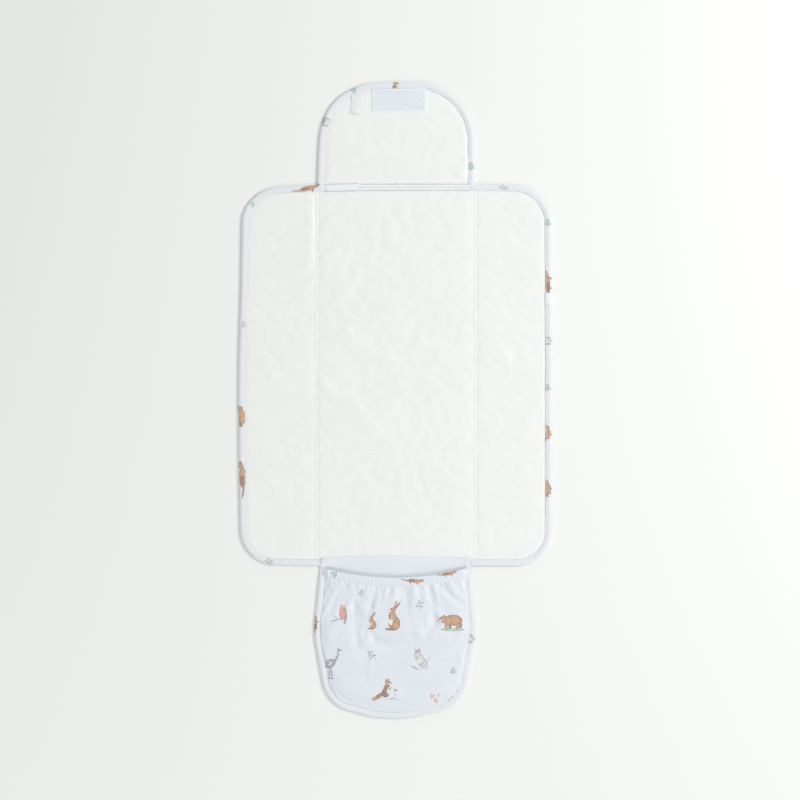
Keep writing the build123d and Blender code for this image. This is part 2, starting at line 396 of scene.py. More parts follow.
def let_go(points, pinned, growth, frames=16, bending=0.35, stiffness=14.0):
    """Cloth simulation of a grid cut a little larger than the room it has, so that it wrinkles.
    Pinned points stay where they are. Returns the points it comes to."""
    n, m = points.shape[:2]
    cloth = new_piece("let_go", points.reshape(-1, 3), grid_squares(n, m).reshape(-1, 4), [])
    group = cloth.vertex_groups.new(name="pinned")
    group.add(np.flatnonzero(pinned).tolist(), 1.0, "REPLACE")
    modifier = cloth.modifiers.new("Cloth", "CLOTH")
    settings = modifier.settings
    settings.quality = 5
    settings.mass = 0.15
    settings.tension_stiffness = stiffness
    settings.compression_stiffness = stiffness
    settings.shear_stiffness = stiffness / 2
    settings.bending_stiffness = bending
    settings.air_damping = 3
    settings.vertex_group_mass = "pinned"
    settings.shrink_min = -growth
    settings.effector_weights.gravity = 0
    modifier.collision_settings.use_collision = False
    modifier.point_cache.frame_start = 1
    modifier.point_cache.frame_end = frames
    scene = bpy.context.scene
    for f in range(1, frames + 1):
        scene.frame_set(f)
    final = cloth.evaluated_get(bpy.context.evaluated_depsgraph_get()).to_mesh()
    co = np.zeros(n * m * 3)
    final.vertices.foreach_get("co", co)
    scene.frame_set(1)
    bpy.data.objects.remove(cloth)
    return co.reshape(n, m, 3) / MM


def wrinkled(points, pinned, growth, most, **options):
    """The simulated cloth's wrinkles, softened so that no point moves more than most millimetres."""
    moved = let_go(points, pinned, growth, **options) - points
    size = np.linalg.norm(moved, axis=-1, keepdims=True)
    return points + moved * most / (most + size)


def mat_grid():
    """Grid lines across the whole mat, with its lining and its underside as points."""
    steps = (*LEVEL_HALF.values(), SIDE_HALF, 5, 3.7, STITCH_ROW, 1.4)
    offsets = [side * step for side in (-1, 1) for step in steps] + [0]
    across = [side * FOLD_X + o for side in (-1, 1) for o in offsets] + [-MAT_RIGHT + 1, MAT_RIGHT - 1]
    along = [line + o for line in (UPPER_Y, LOWER_Y) for o in offsets] + [MAT_FOOT + 1, MAT_HEAD - 1]
    xs, ys = lines(across, GRID_STEP), lines(along, GRID_STEP)
    x, y = np.meshgrid(xs, ys, indexing="ij")
    upright, level, edge = seam_distance(x, y)[1:]
    pinned = (np.abs(upright - STITCH_ROW) < 0.6) | (level < 0.6) | (edge < 1.5)
    start = np.stack([x, y, lining_height(x, y) + 0.25 * rough(x, y, 16, 2.0)], -1)
    top = wrinkled(start, pinned, 0.006, 0.2)
    under = np.stack([x, y, underside_height(x, y)], -1)
    top[..., 2] = np.maximum(finish_lining(x, y, top[..., 2]), under[..., 2] + LEAST_THICK)
    return xs, ys, top, under, whole_squares(edge + BINDING > TUCKED)


# ---------------------------------------------------------------- materials
def node_material(name, colour, roughness, sheen=0.0, specular=0.5):
    """A principled material with its node tree ready for more."""
    material = bpy.data.materials.new(name)
    material.use_nodes = True
    tree = material.node_tree
    shader = tree.nodes["Principled BSDF"]
    shader.inputs["Base Color"].default_value = (*colour, 1)
    shader.inputs["Roughness"].default_value = roughness
    shader.inputs["Sheen Weight"].default_value = sheen
    shader.inputs["Specular IOR Level"].default_value = specular
    return material, tree, shader


def add_node(tree, kind, inputs=None, **settings):
    """One node with its settings, and its inputs given as values or as other nodes' outputs."""
    node = tree.nodes.new(kind)
    for key, value in settings.items():
        setattr(node, key, value)
    for key, value in (inputs or {}).items():
        if isinstance(value, bpy.types.NodeSocket):
            tree.links.new(value, node.inputs[key])
        else:
            node.inputs[key].default_value = value
    return node


def calculate(tree, operation, *values):
    """The result of a math node."""
    return add_node(tree, "ShaderNodeMath", dict(enumerate(values)), operation=operation).outputs[0]


def vector_math(tree, operation, *values):
    """A vector math node."""
    return add_node(tree, "ShaderNodeVectorMath", dict(enumerate(values)), operation=operation)


def clouds(tree, point, scale, detail=3.0, distortion=0.0):
    """Smooth noise from 0 to 1 over the cloth."""
    inputs = {"Vector": point, "Scale": scale, "Detail": detail, "Distortion": distortion}
    return add_node(tree, "ShaderNodeTexNoise", inputs).outputs["Fac"]


def add_bump(tree, shader, height, strength, distance):
    """Relief that is finer than the mesh."""
    bump = add_node(tree, "ShaderNodeBump", {"Strength": strength, "Distance": distance, "Height": height})
    tree.links.new(bump.outputs[0], shader.inputs["Normal"])


def flat_point(tree):
    """The cloth's own flat coordinates, in millimetres."""
    return add_node(tree, "ShaderNodeUVMap", uv_map="flat").outputs["UV"]


def mix_colour(tree, share, first, second, blend="MIX"):
    """Two colours mixed by share."""
    node = add_node(tree, "ShaderNodeMix", data_type="RGBA", blend_type=blend)
    for socket, value in ((node.inputs[0], share), (node.inputs[6], first), (node.inputs[7], second)):
        if isinstance(value, bpy.types.NodeSocket):
            tree.links.new(value, socket)
        else:
            socket.default_value = value
    return node.outputs[2]


def weave_bump(tree, shader, point, thread, strength):
    """Plain weave: warp and weft threads with a little uneven slub, as bump."""
    split = add_node(tree, "ShaderNodeSeparateXYZ", {0: point})
    waves = []
    for axis in (0, 1):
        turns = calculate(tree, "MULTIPLY", split.outputs[axis], 2 * math.pi / thread)
        waves.append(calculate(tree, "SINE", turns))
    woven = calculate(tree, "MULTIPLY", *waves)
    height = calculate(tree, "MULTIPLY_ADD", clouds(tree, point, 0.5), 0.3, woven)
    add_bump(tree, shader, height, strength, 0.0002)
    return height


def lining_material():
    """Wipeable lining: a smooth coated knit with a soft film wrinkle and a low sheen."""
    material, tree, shader = node_material("lining_film", (0.87, 0.88, 0.84), 0.5, 0.12, 0.35)
    point = flat_point(tree)
    cloudy = clouds(tree, point, 0.012, 4.0)
    colour = mix_colour(tree, cloudy, (0.868, 0.872, 0.838, 1), (0.902, 0.907, 0.875, 1))
    tree.links.new(colour, shader.inputs["Base Color"])
    film = clouds(tree, point, 0.09, 3.0, 0.6)
    knit = add_node(tree, "ShaderNodeTexVoronoi", {"Vector": point, "Scale": 1.4}).outputs["Distance"]
    add_bump(tree, shader, calculate(tree, "MULTIPLY_ADD", knit, 0.05, film), 0.22, 0.0008)
    spread = add_node(tree, "ShaderNodeMapRange", {0: cloudy, 1: 0.3, 2: 0.7, 3: 0.42, 4: 0.58})
    tree.links.new(spread.outputs[0], shader.inputs["Roughness"])
    return material


def plain_cloth(name, colour, roughness, thread, strength, sheen=0.2):
    """Plain woven cloth in one colour, with painted shade: darker where the weave's bump is low."""
    material, tree, shader = node_material(name, colour, roughness, sheen, 0.25)
    height = weave_bump(tree, shader, flat_point(tree), thread, strength)
    # painted shade: the colour drops to nine tenths in the hollows of the weave's bump
    darker = tuple(c * 0.9 for c in colour)
    low = add_node(tree, "ShaderNodeMapRange", {0: height, 1: -1.0, 2: 1.3})
    tree.links.new(mix_colour(tree, low.outputs[0], (*darker, 1), (*colour, 1)), shader.inputs["Base Color"])
    return material


# The print: small generic motifs, each a list of ovals drawn in order.
# An oval is x, y, half width, half height, turn in degrees, and its colour's name.
INKS = {
    "tan": (0.48, 0.26, 0.12),
    "brown": (0.27, 0.14, 0.08),
    "dark": (0.17, 0.14, 0.14),
    "pink": (0.72, 0.33, 0.30),
    "grey": (0.33, 0.33, 0.35),
    "pale": (0.58, 0.58, 0.58),
    "cream": (0.80, 0.72, 0.62),
    "green": (0.36, 0.50, 0.42),
    "sage": (0.42, 0.50, 0.47),
}
MOTIFS = {
    "bird": [
        (-9, -11.5, 10, 0.7, 14, "grey"), (-10, -8, 4.5, 0.5, -38, "grey"), (-13, -13, 4, 0.5, 35, "grey"),
        (5, -9, 2.2, 8.5, -6, "grey"), (3, -1, 3.6, 8.8, 8, "grey"), (-0.5, 0, 5.4, 9.8, 8, "pink"),
        (-1.5, 9.2, 4.4, 4, 0, "pink"), (0.5, 12.5, 2.4, 1.6, -30, "cream"),
        (-5.6, 8.6, 1.5, 1, -20, "cream"), (-2.6, 9.8, 0.7, 0.7, 0, "dark"), (-1, -9.8, 1.6, 0.6, 0, "dark"),
    ],
    "hare": [
        (-2, -15.5, 9, 1.8, 4, "brown"), (12, -9, 2.4, 2.2, 0, "cream"), (2, -5, 9, 10.5, 10, "tan"),
        (-2, 4, 6, 9, 20, "tan"), (-4, -3, 3.6, 7, 14, "cream"), (5, -9, 6, 6, 0, "tan"),
        (2.5, 22, 1.5, 7, -28, "brown"), (-1, 23, 1.6, 7, -10, "tan"), (-1, 23, 0.6, 5, -10, "pink"),
        (-4, 14, 5, 4.2, 18, "tan"), (-8, 12.6, 2.4, 1.8, 20, "cream"), (-6, 2, 1.2, 4.5, 35, "brown"),
        (-5, 15.2, 0.8, 0.8, 0, "dark"), (-10, 13, 0.7, 0.6, 0, "dark"),
    ],
    "bear": [
        (2, -14.5, 17, 2.4, 0, "green"), (-9, -13.5, 6, 1.6, 10, "sage"), (12, -13.5, 6, 1.4, -8, "sage"),
        (-2, -9, 2.1, 4.2, -5, "brown"), (14, -8.5, 2.1, 4.2, -8, "brown"), (3, 0, 13.5, 8.4, -3, "tan"),
        (-5, -1, 6.5, 7.4, 0, "tan"), (-8, -9.5, 2.3, 4.6, 5, "tan"), (9, -9.5, 2.6, 4.6, 0, "tan"),
        (-13, 1, 6, 5.2, 10, "tan"), (-17.5, -1.5, 3, 2.3, 0, "cream"), (-11, 6.2, 1.8, 1.8, 0, "brown"),
        (-14.5, 2.5, 0.8, 0.8, 0, "dark"), (-19.8, -0.8, 1, 0.9, 0, "dark"),
    ],
    "heron": [
        (1.2, -15, 0.7, 9.5, 3, "dark"), (-3, -15, 0.7, 9.5, -6, "dark"), (0.8, -24.3, 3.4, 0.7, 0, "dark"),
        (-4.6, -24, 3, 0.7, 0, "dark"), (-11, -2, 6, 2.6, 28, "grey"), (8, 8, 2, 7, -32, "grey"),
        (-2, 1, 10, 7, 24, "grey"), (-4, 1.5, 7.5, 4.2, 28, "pale"), (-6, 0, 6, 0.6, 30, "dark"),
        (-4, 3, 5.5, 0.5, 32, "dark"), (12, 17, 1.4, 7, -6, "grey"), (13, 24, 2.8, 1.9, -15, "grey"),
        (16.6, 23.2, 2.6, 0.6, -10, "dark"), (13.2, 24.5, 0.6, 0.6, 0, "dark"),
        (9, -26.5, 10, 0.5, -16, "pale"),
    ],
    "mouse": [
        (10, -3, 1.3, 7.5, -22, "pale"), (9, -11, 1.1, 4, 30, "pale"), (2, -13.5, 8, 1, 4, "pale"),
        (-9, -11.5, 4.5, 1.2, -24, "grey"), (3, -5, 6.2, 6.4, 0, "pale"), (0, 0, 5.4, 8, 14, "pale"),
        (-3, -2, 2.6, 5, 10, "cream"), (-4.5, 7.5, 4.8, 3.8, 24, "pale"), (-2.5, 13, 2.2, 3, -10, "grey"),
        (-2.5, 12.8, 1.2, 2, -10, "pink"), (-6.5, 12.2, 1.6, 2.4, 18, "grey"),
        (-6.5, 8.4, 0.8, 0.8, 0, "dark"), (-9.2, 6.6, 0.8, 0.7, 0, "pink"), (-6, 1, 0.9, 3, 50, "grey"),
    ],
    "squirrel": [
        (4, -15, 18, 0.7, -3, "pale"), (10, -14, 5, 0.6, 4, "grey"), (-11, -10, 8.5, 3, 32, "brown"),
        (-18, -14.5, 4.6, 2.8, 10, "tan"), (-1, -6, 6, 6.5, 0, "brown"), (1, 0, 5, 8, -14, "brown"),
        (4, -2, 2.6, 6, -12, "cream"), (6, 1, 1, 4, -60, "tan"), (0.5, 14, 1.3, 2.2, 10, "brown"),
        (4, 14.6, 1.2, 2.2, -10, "brown"), (4, 9.5, 5.2, 3.9, -14, "tan"), (7, 8, 2.4, 1.8, -10, "cream"),
        (5.6, 10.4, 0.8, 0.8, 0, "dark"), (9.4, 8.6, 0.8, 0.7, 0, "dark"), (14, -8, 0.4, 6.5, 2, "grey"),
        (14.4, -1, 2.6, 1.5, 10, "grey"), (17, -2, 1.4, 1.2, 0, "grey"),
    ],
    "fox": [
        (-9, -4, 5, 2.2, 40, "brown"), (-12, -6.5, 1.8, 1.4, 0, "cream"), (3, -4.5, 1.1, 3.6, -16, "brown"),
        (-4, -6, 1.1, 3.2, 10, "brown"), (0, -1, 8.5, 4.4, 24, "tan"), (4, 2, 4, 3.4, 30, "tan"),
        (7, 9.8, 1, 2, 8, "brown"), (9.6, 9.8, 1, 2, -12, "brown"), (8, 6, 3.8, 3, 24, "tan"),
        (8.8, 6.8, 0.6, 0.6, 0, "dark"), (11.8, 6.6, 0.8, 0.6, 0, "dark"),
    ],
    "weasel": [
        (-17, -1.5, 9, 1.1, -8, "brown"), (-7, -4, 1.3, 2.8, 12, "brown"), (7, -4, 1.3, 2.8, -12, "brown"),
        (0, 0, 13, 3.6, 2, "tan"), (-4, -0.5, 6, 2.6, 4, "brown"), (14, 2, 4.6, 2.8, 16, "tan"),
        (12.5, 4.6, 1.2, 1.2, 0, "brown"), (15.6, 2.6, 0.6, 0.6, 0, "dark"),
        (18.4, 2.8, 0.8, 0.6, 0, "dark"),
    ],
    "owl": [
        (-5.2, -1, 1.0, 5.5, 6, "grey"), (5.2, -1, 1.0, 5.5, -6, "grey"), (0, 0, 4.6, 8, 0, "cream"),
        (0, -2, 2.6, 5, 0, "pale"), (-3, 8, 1.0, 1.6, 20, "grey"), (3, 8, 1.0, 1.6, -20, "grey"),
        (-2.3, 4.5, 2.1, 2.1, 0, "grey"), (2.3, 4.5, 2.1, 2.1, 0, "grey"), (-2.3, 4.5, 0.9, 0.9, 0, "dark"),
        (2.3, 4.5, 0.9, 0.9, 0, "dark"), (0, 2.3, 0.7, 1.1, 0, "dark"), (0, -8.6, 2, 0.6, 0, "grey"),
    ],
    "sprig": [
        (0, 0, 0.5, 7.5, 18, "grey"), (-2.6, 2.5, 2.6, 1, 35, "grey"), (2.2, 4.5, 2.4, 1, -30, "grey"),
        (-3.4, -2, 2.6, 1, 20, "grey"), (3, -1, 2.6, 1.1, -40, "grey"), (-2, 7, 2, 0.9, 60, "grey"),
    ],
    "flower": [
        (-3, 3, 3.6, 2.1, 40, "pink"), (2, -4, 3.4, 2.1, -50, "pink"), (4, 2, 0.5, 6, -40, "green"),
        (-4, -3, 1.6, 1, 0, "cream"), (5, 6, 2.2, 0.9, 60, "green"), (-5, 6, 1.6, 1, 20, "pink"),
    ],
    "tuft": [
        (0, -1, 2.6, 4.6, 0, "green"), (3, -3, 2.2, 1.6, 0, "sage"), (-3, -3, 2, 1.8, 0, "sage"),
    ],
}


# Where the motifs lie on the pocket's front: kind, x, y, size and turn
POCKET_PRINT = [
    ("bird", -80, -329, 0.98, -4), ("hare", 0, -339, 1.0, -8), ("hare", -33, -344, 0.6, -6),
    ("bear", 88, -340, 1.0, 0), ("heron", -98, -408, 0.92, 0), ("sprig", -33, -395, 1.1, 30),
    ("mouse", 42, -401, 1.05, 0), ("squirrel", -12, -447, 1.0, 0), ("flower", 62, -461, 1.0, 0),
    ("tuft", 91, -417, 1.0, 0), ("fox", 92, -461, 1.0, 10), ("tuft", -99, -466, 1.0, 30),
    ("sprig", -52, -299, 0.8, -20), ("sprig", -112, -298, 0.8, 0), ("sprig", 40, -317, 1.0, -10),
    ("weasel", 30, -279, 0.8, -8), ("weasel", 82, -268, 0.7, 6), ("tuft", -96, -268, 1.1, 60),
]
# Where bits of them show on the binding
EDGE_PRINT = [
    ("weasel", -137, 330, 1.0, 6), ("tuft", -224, 309, 1.2, 40), ("sprig", -235, 116, 0.8, 0),
    ("fox", -237, -26, 1.2, 60), ("weasel", -237, -119, 1.3, 88), ("sprig", -196, -252, 1.0, 60),
    ("tuft", 236, 278, 1.2, 0), ("weasel", 235, 181, 1.1, 90), ("owl", 234, 92, 1.0, 90),
    ("tuft", 235, 21, 1.1, 0), ("fox", 235, -52, 0.9, 50), ("fox", 235, -137, 1.0, 60),
    ("sprig", 169, 329, 1.0, 60), ("squirrel", -3, 481, 0.9, 0), ("tuft", -68, 484, 1.2, 70),
    ("owl", -112, 431, 1.1, 62), ("tuft", 117, 364, 1.3, 0), ("owl", 114, -369, 1.1, 84),
    ("weasel", -123, -347, 0.7, 80), ("tuft", -110, -462, 1.1, 40),
]


def turned_rows(x, y, wide, high, turn):
    """Two rows that take a point (x, y, 1) into the frame of a turned oval or motif."""
    c, s = math.cos(math.radians(turn)), math.sin(math.radians(turn))
    return (c / wide, s / wide, -(c * x + s * y) / wide), (-s / high, c / high, (s * x - c * y) / high)


def dots(tree, point, rows):
    """A point's product with each row."""
    return [vector_math(tree, "DOT_PRODUCT", point, row).outputs["Value"] for row in rows]


def motif_group(kind):
    """A node group that draws one motif over a ground colour. Its point is (x, y, 1)."""
    tree = bpy.data.node_groups.new(f"motif_{kind}", "ShaderNodeTree")
    tree.interface.new_socket("Point", in_out="INPUT", socket_type="NodeSocketVector")
    tree.interface.new_socket("Ground", in_out="INPUT", socket_type="NodeSocketColor")
    tree.interface.new_socket("Colour", in_out="OUTPUT", socket_type="NodeSocketColor")
    point, inked = add_node(tree, "NodeGroupInput").outputs[:2]
    for x, y, wide, high, turn, ink in MOTIFS[kind]:
        u, v = dots(tree, point, turned_rows(x, y, wide, high, turn))
        far = calculate(tree, "MULTIPLY_ADD", v, v, calculate(tree, "MULTIPLY", u, u))
        base = np.array(INKS[ink])
        rim = calculate(tree, "POWER", far, 2.5)
        paint = mix_colour(tree, rim, (*np.minimum(base * 1.25 + 0.02, 0.9), 1), (*(base * 0.5), 1))
        soft = 0.4 / min(wide, high) + 0.04
        inside = calculate(tree, "MULTIPLY_ADD", far, -0.5 / soft, 0.5 + 0.5 / soft)
        inked = mix_colour(tree, inside, inked, paint)
    add_node(tree, "NodeGroupOutput", {0: inked})
    return tree


def print_material(name, placements, tile=None, colour=(0.79, 0.82, 0.865), faint=1.0):
    """Pale printed cotton: plain weave, a cloudy base and the motifs in a soft watercolour wash."""
    material, tree, shader = node_material(name, colour, 0.82, 0.25, 0.25)
    point = flat_point(tree)
    weave_bump(tree, shader, point, 0.55, 0.25)
    darker, lighter = [c * 0.97 for c in colour], [min(1, c * 1.03) for c in colour]
    ground = mix_colour(tree, clouds(tree, point, 0.03), (*darker, 1), (*lighter, 1))
    wash = {0: clouds(tree, point, 0.7, 5.0), 1: 0.35, 2: 0.6, 3: 0.66 * faint, 4: faint}
    wash = add_node(tree, "ShaderNodeMapRange", wash).outputs[0]
    if tile is not None:
        low, high = tile
        point = vector_math(tree, "WRAP", point, high, low).outputs["Vector"]
    point = vector_math(tree, "MULTIPLY_ADD", point, (1, 1, 0), (0, 0, 1)).outputs["Vector"]
    inked = ground
    for kind, x, y, size, turn in placements:
        u, v = dots(tree, point, turned_rows(x, y, size, size, turn))
        place = add_node(tree, "ShaderNodeCombineXYZ", {0: u, 1: v, 2: 1.0})
        drawn = add_node(tree, "ShaderNodeGroup", node_tree=MOTIF_TREES[kind])
        tree.links.new(place.outputs[0], drawn.inputs[0])
        tree.links.new(inked, drawn.inputs[1])
        inked = drawn.outputs[0]
    tree.links.new(mix_colour(tree, wash, ground, inked), shader.inputs["Base Color"])
    return material


def thread_material(name, colour):
    """Sewing thread: twisted, with a soft sheen."""
    return node_material(name, colour, 0.55, 0.3, 0.4)[0]


MOTIF_TREES = {kind: motif_group(kind) for kind in MOTIFS}
TILE = ((-125, -500, -1), (125, -260, 1))
LINING = lining_material()
WADDING = plain_cloth("wadding_fleece", (0.86, 0.86, 0.84), 0.95, 1.4, 0.6)
BINDING_CLOTH = print_material("binding_cotton", EDGE_PRINT, colour=(0.80, 0.825, 0.855))
# painted light: the binding's print made paler than BINDING_CLOTH for the flap's base and the joins, making
# up for the shade on the low base strip
LIGHTENED_BINDING_CLOTH = print_material("flap_base_cotton", EDGE_PRINT[:2], colour=(0.88, 0.90, 0.92))
POCKET_CLOTH = print_material("pocket_cotton", POCKET_PRINT)
OUTER_CLOTH = print_material("outer_cotton", POCKET_PRINT, TILE)
POCKET_BACK = print_material("pocket_back_cotton", POCKET_PRINT, TILE, colour=(0.82, 0.85, 0.89), faint=0.3)
HOOK_TAPE = plain_cloth("hook_tape_nylon", (0.90, 0.94, 0.975), 0.6, 1.2, 0.3)
LOOP_TAPE = plain_cloth("loop_tape_nylon", (0.80, 0.85, 0.90), 0.95, 0.9, 0.9, 0.5)
LABEL = plain_cloth("label_satin", (0.88, 0.88, 0.88), 0.45, 0.5, 0.15, 0.1)
ELASTIC = plain_cloth("elastic_knit", (0.85, 0.85, 0.84), 0.8, 1.0, 0.6)
THREAD = thread_material("thread_white", (0.95, 0.96, 0.94))
# grey thread: real stitching, and painted shade as dark lines along the flap base's edges
SHADE_LINE_THREAD = thread_material("thread_grey_shade_line", (0.50, 0.51, 0.53))


# ---------------------------------------------------------------- stitching
def stitch_rows(name, rows, pitch=3.3, long=2.3, wide=0.42, thread=THREAD):
    """Stitches along rows of points, each row an array of x, y, z on the cloth's surface."""
    verts, faces = [], []
    sides = 6
    ring = [(math.cos(a), math.sin(a)) for a in np.linspace(0, 2 * math.pi, sides + 1)[:-1]]
    for row in rows:
        row = np.asarray(row, float)
        along = np.concatenate([[0], np.cumsum(np.linalg.norm(np.diff(row, axis=0), axis=1))])
        for k in range(int(along[-1] // pitch)):
            middle = (k + 0.5) * pitch
            start, top, end = [np.array([np.interp(s, along, row[:, c]) for c in range(3)])
                               for s in (middle - long / 2, middle, middle + long / 2)]
            ahead = end - start
            ahead /= np.linalg.norm(ahead)
            side = np.cross((0, 0, 1), ahead)
            side /= np.linalg.norm(side)
            up = np.cross(ahead, side)
            first = len(verts)
            # thin and sunk at both ends, full and proud in the middle
            for centre, share, lift in ((start, 0.45, -0.10), (top, 1.0, 0.16), (end, 0.45, -0.10)):
                thick = wide * share
                verts += [centre + side * c * thick + up * (s * thick * 0.8 + lift) for c, s in ring]
            for r in (0, 1):
                for i in range(sides):
                    a, b = first + sides * r + i, first + sides * r + (i + 1) % sides
                    faces.append((a, b, b + sides, a + sides))
            faces.append(tuple(first + i for i in reversed(range(sides))))
            faces.append(tuple(first + 2 * sides + i for i in range(sides)))
    return new_piece(name, verts, faces, [thread], crease=80)


# ---------------------------------------------------------------- binding
def bound_profile(top, wide):
    """A bias binding's cross section: inset from the edge and height, round its outside and back
    inside, and the flat coordinate of each point counted from the fold."""
    middle, cloth, puff = top / 2, 0.55, 0.45
    outside = [
        (wide, top - 0.25), (wide - 0.5, top + 0.05), (wide - 1.6, top - 0.4), (wide - 2.8, top + puff * 0.5),
        (wide * 0.45, top + puff), (wide * 0.22, top + puff * 0.45), (0.5, top - 0.55), (0, middle + 0.4),
        (0, middle - 0.4), (0.5, 0.6), (wide * 0.22, 0.08), (wide * 0.45, 0), (wide - 3.2, 0),
        (wide - 1.7, 0.1), (wide - 0.5, 0), (wide, 0.2),
    ]
    inside = [
        (wide, 0.2 + cloth), (wide * 0.45, 0.1 + cloth), (wide * 0.22, 0.3 + cloth), (cloth + 0.3, middle),
        (wide * 0.22, top + puff * 0.45 - cloth), (wide * 0.45, top + puff - cloth),
        (wide, top - 0.25 - cloth),
    ]
    flat = [d if z > middle else -d for d, z in outside + inside]
    return np.array(outside + inside), np.array(flat)


SEWN_THROUGH = (2, 13)  # the profile's two dimples, above and below


def bound_edge(name, path, top, seed=0.0, wide=BINDING, lift=None, full=None, cloth=BINDING_CLOTH):
    """Binding swept along a path, with the small puckers that sewing leaves in it. lift(y) raises it,
    and full(y) thins it. Returns it with the rows that its stitching follows."""
    at, normal = path
    x, y = at.T
    profile, flat = bound_profile(top, wide)
    k, m = len(at), len(profile)
    ripple = 0.16 * np.sin((x * 0.7 + y) / 1.7 + 4 * rough(x, y, 25, seed)) + 0.22 * rough(x, y, 18, seed + 1)
    wander = 0.55 * rough(x, y, 42, seed + 2)
    verts = np.zeros((k, m, 3))
    inset = profile[None, :, 0] + wander[:, None] * (profile[None, :, 0] / wide)
    verts[..., :2] = at[:, None, :] + normal[:, None, :] * inset[..., None]
    share = np.clip((profile[:, 1] - top / 2) / (top / 2), 0, 1)
    verts[..., 2] = profile[None, :, 1] + ripple[:, None] * share[None, :]
    if full is not None:
        verts[..., 2] *= full(y)[:, None]
    if lift is not None:
        verts[..., 2] += lift(y)[:, None]
    uv = at[:, None, :] + normal[:, None, :] * flat[None, :, None]
    index = np.arange(k * m).reshape(k, m)
    faces = [(index[i + 1, j], index[i + 1, (j + 1) % m], index[i, (j + 1) % m], index[i, j])
             for i in range(k - 1) for j in range(m)]
    faces += [tuple(index[0]), tuple(index[-1][::-1])]
    verts = settle(verts)
    piece = new_piece(name, verts.reshape(-1, 3), faces, [cloth], uv=uv.reshape(-1, 2), crease=60)
    return piece, [verts[:, level] for level in SEWN_THROUGH]


def sewn_edge(name, path, top, where, node=None, rows_sewn=slice(None), **how):
    """A length of binding with its stitching."""
    edge, rows = bound_edge(name, path, top, **how)
    seam = stitch_rows(name.replace("bound_edge", "edge_stitches"), rows[rows_sewn])
    attach(edge, where, node)
    attach(seam, where)


# ---------------------------------------------------------------- the mat's cells
def piece_of_grid(grid, x0, x1, y0, y1):
    """The part of the mat's grid between four lines: slices and which squares are there."""
    xs, ys, top, under, keep = grid
    i = np.where((xs > x0 - 0.01) & (xs < x1 + 0.01))[0]
    j = np.where((ys > y0 - 0.01) & (ys < y1 + 0.01))[0]
    a, b = slice(i[0], i[-1] + 1), slice(j[0], j[-1] + 1)
    return top[a, b], under[a, b], keep[i[0]:i[-1], j[0]:j[-1]]


def make_layers(top, under, keep, body, pattern, size):
    """Lining, wadding and printed outer between two surfaces. pattern turns a layer's name into the
    full name; size, the sheets' flat size, is not used."""
    layers = (
        ("lining", "lining_cloth", top, down(top, LINING_THICK), LINING, "lining"),
        ("wadding", "wadding_fill", down(top, LINING_THICK + BETWEEN), down(under, -OUTER_THICK - BETWEEN),
         WADDING, "wadding"),
        ("outer", "outer_cloth", down(under, -OUTER_THICK), under, OUTER_CLOTH, "outer_print"),
    )
    for node, name, above, below, material, slot in layers:
        piece = slab(pattern.format(name), settle(above), settle(below), [material], keep, top)
        attach(piece, body, pattern.format(node))
    size = (size[0] * MM, size[1] * MM)


def make_cell(grid, row, column):
    """One cell, between the strips that bend at its sides."""
    y0, y1 = ROWS[row]
    if column == "centre":
        x0, x1 = SIDE_HALF - FOLD_X, FOLD_X - SIDE_HALF
        y0 += {"lower": 0, "middle": LEVEL_HALF["lower"], "upper": LEVEL_HALF["upper"]}[row]
        y1 -= {"lower": LEVEL_HALF["lower"], "middle": LEVEL_HALF["upper"], "upper": 0}[row]
    else:
        side = -1 if column == "left" else 1
        x0, x1 = sorted((side * (FOLD_X + SIDE_HALF), side * MAT_RIGHT))
    name = f"{row}_{column}"
    make_layers(*piece_of_grid(grid, x0, x1, y0, y1), name, "{}_" + name, (x1 - x0, y1 - y0))


def fold_strip(grid, name, box, where, node=None):
    """The quilt across one fold line, between two bodies: lining above, outer below."""
    top, under, keep = piece_of_grid(grid, *box)
    strip = slab(name, settle(top), settle(under), [LINING, OUTER_CLOTH], keep, top)
    attach(strip, where, node)


def surface_row(grid, points):
    """A row of points laid on a grid's lining."""
    xs, ys, top = grid[:3]
    z = top[..., 2]
    out = []
    for x, y in points:
        i = np.clip(np.searchsorted(xs, x) - 1, 0, len(xs) - 2)
        j = np.clip(np.searchsorted(ys, y) - 1, 0, len(ys) - 2)
        u, v = (x - xs[i]) / (xs[i + 1] - xs[i]), (y - ys[j]) / (ys[j + 1] - ys[j])
        height = (z[i, j] * (1 - u) * (1 - v) + z[i + 1, j] * u * (1 - v) + z[i, j + 1] * (1 - u) * v
                  + z[i + 1, j + 1] * u * v)
        out.append((x, y, height))
    return settle(np.array(out))


